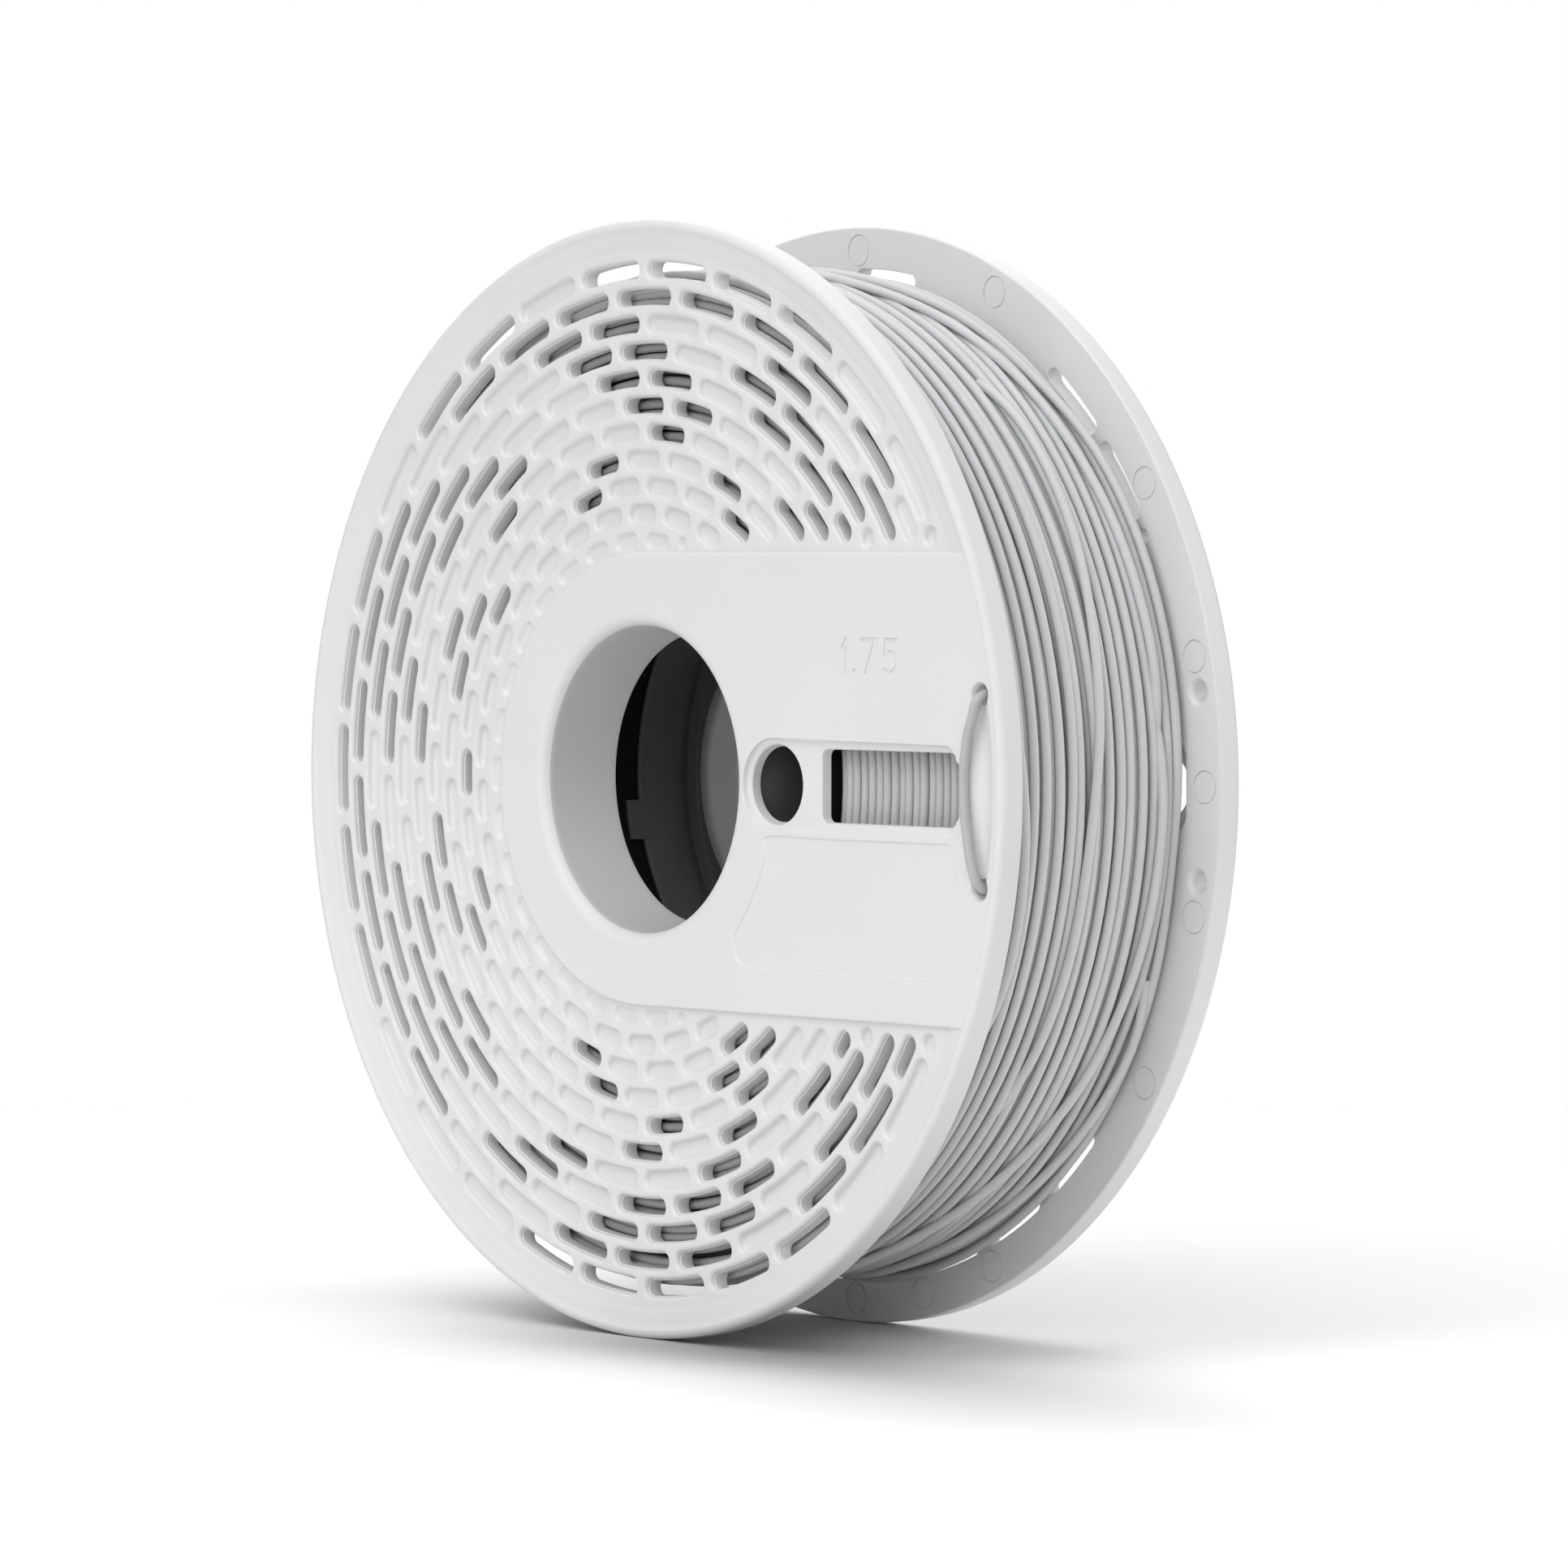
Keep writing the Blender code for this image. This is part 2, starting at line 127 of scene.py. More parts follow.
# The rear mirrors the front, except in its first ring
OPEN_REAR = {ring: tuple(360 - a for a in angles) for ring, angles in OPEN_FRONT.items() if ring > 1}
OPEN_REAR[1] = (
    28.7, 36, 48, 84, 108, 120, 144, 168, 180, 204, 216, 240, 264, 276, 288, 300, 312,
)
# Round dots beside the panel, mirrored above and below it: (ring, radius, angle)
DOTS = [(1, 90.5, 28.7), (4, 76.1, 34.5), (11, 43.74, 74.76)]

# ---- the panel's features ------------------------------------------------------------
RECESS_D = 1.0  # how far the pocket and the clip holes' rounding go below the panel
WALL_END = 3.35  # the wall round the eye and window ends here: it is relieved from behind

WINDOW_X0, WINDOW_X1 = 50.7, 86.5
WINDOW_H = 6.4  # half the window's height
NOTCH = (84.8, -0.1)  # centre of the round notch in the window's outer end

# The pocket's side where it is steep (top) and sloping (foot): (offset, depth)
POCKET_TOP = [(0.3, 0.0), (0.14, 0.05), (0.04, 0.25), (-0.02, 0.6), (-0.2, 0.9), (-0.5, 1.02)]
POCKET_FOOT = [
    (0.12, 0.0), (0.0, 0.03), (-0.3, 0.22), (-0.68, 0.5), (-1.05, 0.78), (-1.38, 0.98),
]

# Points (x, z) of the shallow label field below the window
LABEL = [
    # inner end
    (36.6, -9.2), (36.2, -12.0), (35.0, -15.5), (33.2, -19.0),
    (31.0, -22.4), (28.6, -25.4), (27.6, -27.4),
    # lower corner and lower side
    (27.5, -29.2), (28.6, -31.2), (31.0, -32.3),
    (40.0, -32.5), (55.0, -32.5), (70.0, -32.5), (79.0, -32.3),
    # outer end
    (83.0, -31.2), (85.6, -28.6), (87.4, -24.5), (88.3, -20.0),
    (88.2, -15.5), (87.0, -11.5), (85.8, -9.3),
    # upper side
    (80.0, -9.2), (65.0, -9.2), (50.0, -9.2),
]
# The label field's edge: (offset, depth below the panel)
LABEL_EDGE = [(0.22, 0.0), (0.1, 0.04), (0.0, 0.16), (-0.1, 0.28), (-0.3, 0.32)]

SCOOP_R = 94.15  # the trough's centre line
SCOOP_D = 1.35
CLIP_X, CLIP_Z = 93.85, 16.5  # clip holes lie at +CLIP_Z and -CLIP_Z

NUMERAL_AT = (57.0, 19.6)
NUMERAL_SCALE = (1.15, 1.05)
NUMERAL_EDGE = [(0.05, 0.0), (0.0, 0.08), (-0.03, 0.26)]  # (offset, depth below the panel)

# Round marks on the inner face
PIN_R = 95.65
PIN_ANGLES = (
    89, 65.6, 33.5, 13.7, 0.0, -13.7, -33, -65.6, -77.5, -89, 116, 148, 180, 212, 244,
)
PIN_PROFILE = [(2.98, 0.0), (2.93, 0.24), (2.78, 0.26), (2.68, 0.03)]  # (radius, height)


# ---- outlines ------------------------------------------------------------------------
def circle(centre_x, centre_z, radius, count):
    turns = [2 * math.pi * k / count for k in range(count)]
    return [(centre_x + radius * math.cos(t), centre_z + radius * math.sin(t)) for t in turns]


def arc(centre_x, centre_z, radius, first, last, count):
    """Points from the first to the last angle, in degrees, both included."""
    turns = [math.radians(first + (last - first) * k / count) for k in range(count + 1)]
    return [(centre_x + radius * math.cos(t), centre_z + radius * math.sin(t)) for t in turns]


def resample(outline, count):
    """A closed outline at even steps along its length."""
    points = np.array(outline + [outline[0]], float)
    lengths = np.r_[0, np.cumsum(np.hypot(*np.diff(points, axis=0).T))]
    at = np.linspace(0, lengths[-1], count, endpoint=False)
    xs, zs = (np.interp(at, lengths, points[:, axis]) for axis in (0, 1))
    return [(float(x), float(z)) for x, z in zip(xs, zs)]


def catmull_rom(before, start, end, after, steps):
    """Points of a smooth curve from start up to, but without, end."""
    a, b, c, d = (np.array(p, float) for p in (before, start, end, after))
    points = []
    for k in range(steps):
        t = k / steps
        square = (2 * a - 5 * b + 4 * c - d) * t**2
        cube = (3 * b - a - 3 * c + d) * t**3
        points.append(0.5 * (2 * b + (c - a) * t + square + cube))
    return points


def smooth_closed(outline, count):
    """A closed smooth curve through the points, at even steps."""
    dense = []
    for i in range(len(outline)):
        knots = [outline[(i + k - 1) % len(outline)] for k in range(4)]
        dense += [tuple(p) for p in catmull_rom(*knots, 12)]
    return resample(dense, count)


def offset(outline, distance):
    """The outline moved outwards along its normals; a negative distance moves it inwards."""
    points = np.array(outline, float)
    following = np.roll(points, -1, axis=0)
    tangent = following - np.roll(points, 1, axis=0)
    tangent /= np.linalg.norm(tangent, axis=1, keepdims=True)
    normal = np.c_[tangent[:, 1], -tangent[:, 0]]
    area = 0.5 * np.sum(points[:, 0] * following[:, 1] - following[:, 0] * points[:, 1])
    if area < 0:
        normal = -normal
    return [tuple(p) for p in points + distance * normal]


def ease(value, low, high):
    t = min(1.0, max(0.0, (value - low) / (high - low)))
    return t * t * (3 - 2 * t)


# ---- mesh building -------------------------------------------------------------------
class Shell:
    """Collects a closed surface from points at x, z and a depth from one outer face."""

    def __init__(self, side):
        self.side = side  # -1 measures from the front face, +1 from the rear
        self.points = []
        self.faces = []

    def point(self, x, z, depth):
        self.points.append((x, self.side * (WIDTH / 2 - depth), z))
        return len(self.points) - 1

    def loop(self, outline, depth):
        return [self.point(x, z, depth) for x, z in outline]

    def offset_loops(self, outline, steps):
        """One loop for each (offset, depth)."""
        return [self.loop(offset(outline, out), depth) for out, depth in steps]

    def round_loops(self, x, z, count, profile):
        """One circle for each (radius, depth)."""
        return [self.loop(circle(x, z, radius, count), depth) for radius, depth in profile]

    def face(self, ids):
        self.faces.append(tuple(ids))

    def chain(self, loops, closed=True):
        """Joins each loop to the next with quads."""
        for near, far in zip(loops, loops[1:]):
            count = len(near)
            for i in range(count if closed else count - 1):
                j = (i + 1) % count
                self.face((near[i], near[j], far[j], far[i]))

    def fill(self, outer, holes=(), inside=()):
        """Triangles between an outer loop and its holes, through any points inside."""
        ids = []
        rims = []
        for rim in (outer, *holes):
            rims.append(list(range(len(ids), len(ids) + len(rim))))
            ids += rim
        ids += inside
        flat = [Vector((self.points[i][0], self.points[i][2])) for i in ids]
        _, _, triangles, sources, _, owners = delaunay_2d_cdt(flat, [], rims, 0, 1e-7, True)
        if not all(sources):
            raise ValueError("outlines cross")
        for triangle, owner in zip(triangles, owners):
            if list(owner) == [0]:
                self.face([ids[sources[i][0]] for i in triangle])

    def build(self, name, material):
        mesh = bpy.data.meshes.new(name)
        mesh.from_pydata([Vector(p) * MM for p in self.points], [], self.faces)
        mesh.materials.append(material)
        bm = bmesh.new()
        bm.from_mesh(mesh)
        bmesh.ops.recalc_face_normals(bm, faces=bm.faces)
        loose = [v for v in bm.verts if not v.link_faces]
        bmesh.ops.delete(bm, geom=loose, context="VERTS")
        rim = [e for e in bm.edges if len(e.link_faces) == 1]
        if rim:
            bmesh.ops.holes_fill(bm, edges=rim, sides=12)
            bmesh.ops.recalc_face_normals(bm, faces=bm.faces)
        if bm.calc_volume(signed=True) < 0:
            bmesh.ops.reverse_faces(bm, faces=bm.faces)
        bm.to_mesh(mesh)
        bm.free()
        obj = smooth_object(name, mesh, 38.0)
        weighted = obj.modifiers.new("flat_faces_stay_flat", "WEIGHTED_NORMAL")
        weighted.mode = "FACE_AREA"
        weighted.weight = 80
        weighted.keep_sharp = True
        return obj


def smooth_object(name, mesh, sharp_degrees):
    """Adds a smooth-shaded object whose edges above the given angle stay sharp."""
    mesh.shade_smooth()
    mesh.set_sharp_from_angle(angle=math.radians(sharp_degrees))
    obj = bpy.data.objects.new(name, mesh)
    bpy.context.scene.collection.objects.link(obj)
    return obj


# ---- rim and panel edge --------------------------------------------------------------
# Columns round the dish are (zone, place). The place is an angle in degrees on the panel
# and the web, and an index into PANEL_EDGE on the panel's top and bottom edges.
PANEL_COLUMNS = [("panel", a) for a in np.arange(-22.5, 22.6, 1.5).tolist()]
TOP_COLUMNS = [("top", i) for i in range(len(PANEL_EDGE))]
WEB_COLUMNS = [("web", a) for a in np.arange(27.0, 333.1, 1.5).tolist()]
BOTTOM_COLUMNS = [("bottom", i) for i in range(len(PANEL_EDGE))]
COLUMNS = PANEL_COLUMNS + TOP_COLUMNS[::-1] + WEB_COLUMNS + BOTTOM_COLUMNS


def dish_point(column, radius, dish_depth):
    zone, place = column
    if zone in ("top", "bottom"):
        edge_offset, edge_depth = PANEL_EDGE[place]
        side = 1 if zone == "top" else -1
        angle = side * math.asin((PANEL_R + edge_offset) / radius)
        share = (edge_depth - PANEL_D) / (WEB_D - PANEL_D)
    else:
        angle = math.radians(place)
        share = 1.0 if zone == "web" else 0.0
    # the step at the panel's edge shrinks as the dish rises to the panel
    depth = dish_depth
    if dish_depth > PANEL_D:
        depth = PANEL_D + (dish_depth - PANEL_D) * share
    return radius * math.cos(angle), radius * math.sin(angle), depth


def add_rim(shell):
    """The dish and the outer edge; returns the dish's points and the edge's last loop."""
    grid = {}
    for row, (radius, depth) in enumerate(DISH):
        for column in COLUMNS:
            if column[0] != "panel" or row >= PANEL_ROW:
                grid[row, column] = shell.point(*dish_point(column, radius, depth))
    for row in range(len(DISH) - 1):
        for column, following in zip(COLUMNS, COLUMNS[1:] + COLUMNS[:1]):
            quad = [(row, column), (row, following), (row + 1, following), (row + 1, column)]
            if all(corner in grid for corner in quad):
                shell.face([grid[corner] for corner in quad])

    lip = [grid[len(DISH) - 1, column] for column in COLUMNS]
    angles = [math.atan2(shell.points[i][2], shell.points[i][0]) for i in lip]
    turns = [math.radians(90 * k / 7) for k in range(8)]
    profile = [
        (FLANGE_R - EDGE_R + EDGE_R * math.sin(t), EDGE_R - EDGE_R * math.cos(t)) for t in turns
    ]
    profile += [
        (FLANGE_R, 2.6),
        (FLANGE_R, FLANGE_T - 0.45),
        (FLANGE_R - 0.09, FLANGE_T - 0.2),
        (FLANGE_R - 0.24, FLANGE_T - 0.06),
        (FLANGE_R - 0.45, FLANGE_T),
    ]
    loops = [lip]
    for radius, depth in profile:
        outline = [(radius * math.cos(t), radius * math.sin(t)) for t in angles]
        loops.append(shell.loop(outline, depth))
    shell.chain(loops)
    return grid, loops[-1]


def add_panel_edge(shell, grid):
    """The step round the panel, from its top end at the dish round to its bottom end."""
    loops = []
    for i, (edge_offset, depth) in enumerate(PANEL_EDGE):
        height = PANEL_R + edge_offset
        x_end = math.sqrt(DISH_R**2 - height * height)
        outline = [(x_end * (1 - k / 24), height) for k in range(1, 24)]
        for k in range(49):
            t = math.pi / 2 + math.pi * k / 48
            outline.append((height * math.cos(t), height * math.sin(t)))
        outline += [(x_end * k / 24, -height) for k in range(1, 24)]
        ends = grid[0, ("top", i)], grid[0, ("bottom", i)]
        loops.append([ends[0], *shell.loop(outline, depth), ends[1]])
    shell.chain(loops, closed=False)
    return loops


# ---- slotted web ---------------------------------------------------------------------
def slot_places(open_slots):
    """(ring, radius, first and last cap angle, open) for every slot of a web."""
    found = []
    for ring in range(1, RINGS + 1):
        radius = RING_FIRST - RING_PITCH * (ring - 1)
        shift = 0 if ring % 2 else STEP_DEG / 2
        half = math.radians(STEP_DEG / 2) - (SLOT_GAP / 2 + SLOT_W / 2) / radius
        half = math.degrees(half)
        for k in range(30):
            middle = shift + STEP_DEG * k
            first, last = middle - half, middle + half
            is_open = any(
                abs((middle - a + 180) % 360 - 180) < 2.5 for a in open_slots.get(ring, ())
            )
            if ring < RINGS and (middle < 90 or middle > 270):
                # slots that would run into the panel are cut short, or left out
                low, high = (first, last) if middle < 180 else (360 - last, 360 - first)
                clear_z = 43.0 if ring == RINGS - 1 else PANEL_R + 3.75
                low = max(low, math.degrees(math.asin(clear_z / radius)))
                if high < low:
                    continue
                first, last = (low, high) if middle < 180 else (360 - high, 360 - low)
            elif ring == RINGS and (middle < 80 or middle > 280):
                continue
            found.append((ring, radius, math.radians(first), math.radians(last), is_open))
    for ring, radius, angle in DOTS:
        for a in (angle, 360 - angle):
            is_open = any(abs(a - b) < 0.1 for b in open_slots.get(ring, ()))
            found.append((ring, radius, math.radians(a), math.radians(a), is_open))
    return found


def slot_outline(radius, first, last, half_width, caps=8, sides=5):
    """A curved slot with round ends; any half width gives the same number of points."""
    points = []
    for start, end, way in ((first, last, 1), (last, first, -1)):
        side_r = radius + way * half_width
        for k in range(sides):
            a = start + (end - start) * k / sides
            points.append((side_r * math.cos(a), side_r * math.sin(a)))
        cap_x, cap_z = radius * math.cos(end), radius * math.sin(end)
        for k in range(caps):
            t = (end if way > 0 else end + math.pi) + math.pi * k / caps
            points.append((cap_x + half_width * math.cos(t), cap_z + half_width * math.sin(t)))
    return points


def add_slot(shell, ring, radius, first, last, is_open):
    """Returns the slot's loops, from the web's face inwards."""
    half_width, rounding, blind = SLOT_W / 2, SLOT_ROUND, 1.35
    if ring == RINGS:
        # the innermost ring runs along the panel's edge: narrower, and shallower
        blind = 0.85
        if first == last:
            half_width, rounding = 1.0, 0.32
        else:
            radius, half_width, rounding = 42.67, 1.42, 0.38
    steps = [(rounding * out, WEB_D + rounding * down) for down, out in ROUND]
    if is_open:
        # a fine ledge, then straight through to the inner face
        steps += [(-0.02, 2.06), (-0.05, 2.14), (-0.19, 2.2)]
        steps += [(-0.2, FLANGE_T - 0.2), (-0.1, FLANGE_T)]
    else:
        bottom = WEB_D + blind
        steps += [(-0.08, bottom - 0.42), (-0.2, bottom - 0.16)]
        steps += [(-0.42, bottom - 0.03), (-0.7, bottom)]
    loops = []
    for out, depth in steps:
        outline = slot_outline(radius, first, last, half_width + out)
        if ring == RINGS:
            clear_z = 41.25 - out
            outline = [
                (x, math.copysign(max(abs(z), clear_z), z) if x > 0 else z) for x, z in outline
            ]
        loops.append(shell.loop(outline, depth))
    shell.chain(loops)
    if not is_open:
        shell.face(loops[-1])
    return loops


def add_web(shell, open_slots, grid, panel_foot):
    """Returns the open slots' loops on the inner face."""
    holes = []
    back_holes = []
    for slot in slot_places(open_slots):
        loops = add_slot(shell, *slot)
        holes.append(loops[0])
        if slot[-1]:
            back_holes.append(loops[-1])
    web_arc = [grid[0, column] for column in WEB_COLUMNS]
    outer = [panel_foot[0], *web_arc, panel_foot[-1], *reversed(panel_foot[1:-1])]
    shell.fill(outer, holes)
    return back_holes


# ---- panel features ------------------------------------------------------------------
def add_bore(shell, collar_d):
    """The bore's mouth, wall and collar; returns its first and last loops."""
    profile = []
    for k in range(13):
        t = math.radians(90 * k / 12)
        profile.append(
            (BORE_FRONT + MOUTH_W * (1 - math.sin(t)), PANEL_D + MOUTH_R * (1 - math.cos(t)))
        )
    profile += [
        (BORE_FRONT - 0.12, 4.5),
        (BORE_FRONT - 0.5, 9.0),
        (BORE_R + 0.08, collar_d - 1.4),
        (BORE_R, collar_d - 0.7),
        (BORE_R + 0.12, collar_d - 0.3),
        (BORE_R + 0.4, collar_d - 0.05),
        (BORE_R + 0.7, collar_d),
        (COLLAR_OUT - 0.6, collar_d),
        (COLLAR_OUT - 0.2, collar_d - 0.12),
        (COLLAR_OUT, collar_d - 0.5),
        (COLLAR_OUT, FLANGE_T + 0.5),
        (COLLAR_OUT + 0.08, FLANGE_T + 0.15),
        (COLLAR_OUT + 0.3, FLANGE_T),
    ]
    loops = shell.round_loops(0, 0, 112, profile)
    shell.chain(loops)
    return loops[0], loops[-1]


def window_outline():
    """The window, with the round notch in its outer end."""
    right, left = WINDOW_X1 - 1.5, WINDOW_X0 + 1.3
    points = arc(*NOTCH, 5.4, -71.5, 71.5, 22)
    points += arc(right, WINDOW_H - 1.5, 1.5, 9, 90, 7)
    points += arc(left, WINDOW_H - 1.3, 1.3, 90, 180, 8)
    points += arc(left, -WINDOW_H + 1.3, 1.3, 180, 270, 8)
    points += arc(right, -WINDOW_H + 1.5, 1.5, 270, 351, 7)
    return resample(points, 170)


def relief_outline():
    """The relief behind the window."""
    points = arc(88.0, 4.9, 3.0, 0, 90, 6)
    points += arc(50.0, WINDOW_H, 1.5, 90, 180, 6)
    points += arc(50.0, -WINDOW_H, 1.5, 180, 270, 6)
    points += arc(88.0, -4.9, 3.0, 270, 360, 6)
    return resample(points, 150)


def pocket_outline():
    """The recess round the eye and the window."""
    points = arc(*NOTCH, 5.88, -54, 54, 18)
    points += arc(85.1, 4.85, 2.7, 2, 86, 8)
    points += arc(38.2, -0.12, 8.15, 92, 270, 44)
    points += arc(85.1, -5.6, 2.7, 270, 360, 8)
    return resample(points, 190)


def add_pocket_side(shell):
    """The pocket's side: steep along its top, and sloping along its foot."""
    outline = pocket_outline()
    outwards = offset(outline, 1.0)
    loops = []
    for (top_out, top_d), (foot_out, foot_d) in zip(POCKET_TOP, POCKET_FOOT):
        loop = []
        for (x, z), (out_x, out_z) in zip(outline, outwards):
            low = ease(-z, -5.5, 6.0)
            out = top_out + (foot_out - top_out) * low
            depth = top_d + (foot_d - top_d) * low
            # the side gets narrower at both ends, and below the eye
            room = (0.35 + 0.65 * ease(x, 31.5, 37.0)) * (1 - 0.94 * ease(x, 83.5, 87.2))
            if z < 0:
                room = min(room, 0.56 + 0.44 * ease(x, 45.5, 50.0))
            shift = out * room
            loop.append(
                shell.point(x + (out_x - x) * shift, z + (out_z - z) * shift, PANEL_D + depth)
            )
        loops.append(loop)
    shell.chain(loops)
    return loops


def add_pocket(shell):
    """The pocket with its eye and window; returns its loops on the panel and at the back."""
    floor_d = PANEL_D + RECESS_D
    side = add_pocket_side(shell)

    eye_rounding = [(7.0 + 0.3 * out, floor_d + 0.42 * down) for down, out in ROUND]
    eye = shell.round_loops(38.3, -0.05, 72, eye_rounding)
    eye += shell.round_loops(37.85, 0, 72, [(6.65, WALL_END - 0.1), (6.75, WALL_END)])
    shell.chain(eye)

    steps = [(0.3 * out, floor_d + 0.3 * down) for down, out in ROUND]
    steps += [(-0.04, WALL_END - 0.1), (0.08, WALL_END)]
    window = shell.offset_loops(window_outline(), steps)
    shell.fill(side[-1], [eye[0], window[0]])

    backs = []
    for outline, rim in ((relief_outline(), window[-1]), (circle(36.9, 0, 7.9, 72), eye[-1])):
        relief = [shell.loop(outline, d) for d in (WALL_END, FLANGE_T - 0.15, FLANGE_T)]
        shell.chain(relief)
        shell.fill(relief[0], [rim])
        backs.append(relief[-1])
    shell.chain(window)
    window_back, eye_back = backs
    return side[0], window_back, eye_back


def add_sunk_field(shell, outline, edge):
    """A flat-bottomed field in the panel, with an edge of (offset, depth below the panel)."""
    loops = shell.offset_loops(outline, [(out, PANEL_D + down) for out, down in edge])
    shell.chain(loops)
    shell.fill(loops[-1])
    return loops[0]


def scoop_r(z):
    """The trough's centre line bends out a little to meet the clip holes."""
    return SCOOP_R + 1.14 * min(1.3, abs(z) / CLIP_Z) ** 4


def scoop_width(z):
    t = min(1.0, abs(z) / 18.4)
    return 0.25 + 3.1 * math.sqrt(max(0.0, 1 - t**2.6))


def scoop_depth(x, z):
    across = min(1.0, abs(math.hypot(x, z) - scoop_r(z)) / scoop_width(z))
    fade = math.sqrt(max(0.0, 1 - (abs(z) / 17.6) ** 4))
    return PANEL_D + SCOOP_D * (1 - across * across) ** 1.5 * fade


def scoop_field(z):
    """Half the width of the area that the scoop and its two clip holes take up."""
    t = min(1.0, abs(z) / 19.5)
    return 0.3 + 3.1 * math.sqrt(max(0.0, 1 - t**4))


def scoop_outline():
    zs = np.linspace(-19.4, 19.4, 90)
    points = []
    for side, heights in ((1, zs), (-1, zs[::-1])):
        for z in heights:
            radius = scoop_r(z) + side * scoop_field(z)
            points.append((math.sqrt(radius**2 - z * z), float(z)))
    return resample(points, 120)


def add_clip_hole(shell, z_centre):
    loops = []
    for down, out in ROUND:
        loop = []
        for x, z in circle(CLIP_X, z_centre, 1.78 + 0.42 * out, 36):
            depth = scoop_depth(x, z) * (1 - down) + (PANEL_D + RECESS_D) * down
            loop.append(shell.point(x, z, depth))
        loops.append(loop)
    # (radius, height above the inner face)
    flare = [(1.74, 1.0), (1.8, 0.75), (1.95, 0.45), (2.25, 0.2), (2.5, 0.05), (2.7, 0.0)]
    profile = [(radius, FLANGE_T - height) for radius, height in flare]
    loops += shell.round_loops(CLIP_X, z_centre, 36, profile)
    shell.chain(loops)
    return loops[0], loops[-1]


def add_scoop(shell):
    """A smooth trough with clip holes at its ends; returns its loop and the holes' backs."""
    scoop = shell.loop(scoop_outline(), PANEL_D)
    clip_fronts, clip_backs = zip(*(add_clip_hole(shell, z) for z in (CLIP_Z, -CLIP_Z)))
    inside = []
    for z in np.arange(-18.6, 18.7, 0.6):
        for across in np.linspace(-0.9, 0.9, 13):
            radius = scoop_r(z) + scoop_field(z) * across
            x = math.sqrt(radius * radius - z * z)
            if min(math.hypot(x - CLIP_X, z - end) for end in (CLIP_Z, -CLIP_Z)) > 2.4:
                inside.append(shell.point(x, float(z), scoop_depth(x, z)))
    shell.fill(scoop, clip_fronts, inside)
    return scoop, list(clip_backs)


def numerals():
    """Outlines of 1.75, the strand's diameter in millimetres, in a plain upright hand."""
    one = [(0.9, 0.0), (1.6, 0.0), (1.6, 6.0), (1.0, 6.0), (0.0, 4.75), (0.0, 4.0), (0.9, 4.85)]
    dot = circle(3.2, 0.45, 0.45, 14)
    seven = [(4.7, 6.0), (4.7, 5.3), (7.45, 5.3), (5.4, 0.0), (6.2, 0.0), (8.4, 5.4), (8.4, 6.0)]
    five = [(10.1, 6.0), (9.95, 3.0), (10.7, 2.95)]
    five += arc(11.4, 1.95, 1.28, 118, -142, 14)[1:]
    five += arc(11.4, 1.95, 2.0, -150, 112, 18)
    five += [(10.78, 5.3), (13.1, 5.3), (13.1, 6.0)]
    return [one, dot, seven, five]


def add_numerals(shell):
    (left, foot), (wide, tall) = NUMERAL_AT, NUMERAL_SCALE
    placed = [[(left + wide * x, foot + tall * z) for x, z in line] for line in numerals()]
    return [add_sunk_field(shell, outline, NUMERAL_EDGE) for outline in placed]


def add_pin_marks(shell):
    rims = []
    for angle in PIN_ANGLES:
        t = math.radians(angle)
        profile = [(radius, FLANGE_T - height) for radius, height in PIN_PROFILE]
        loops = shell.round_loops(PIN_R * math.cos(t), PIN_R * math.sin(t), 40, profile)
        shell.chain(loops)
        shell.face(loops[-1])
        rims.append(loops[0])
    return rims


# ---- drum sleeves --------------------------------------------------------------------
def degrees_apart(a, b):
    return abs((a - b + 180) % 360 - 180)


def sleeve_columns(has_tabs):
    """Angles round the sleeve, in radians, with extra ones at the sides of any tabs."""
    columns = [math.radians(a) for a in np.arange(0, 360, 2.0)]
    if not has_tabs:
        return columns
    outer = TAB_HALF + 0.12
    sides = [
        math.radians(tab + side) for tab in TAB_ANGLES for side in (-outer, -TAB_HALF, TAB_HALF, outer)
    ]
    clear = [
        c for c in columns
        if all(degrees_apart(math.degrees(c), math.degrees(side)) > 0.5 for side in sides)
    ]
    return sorted(clear + sides)


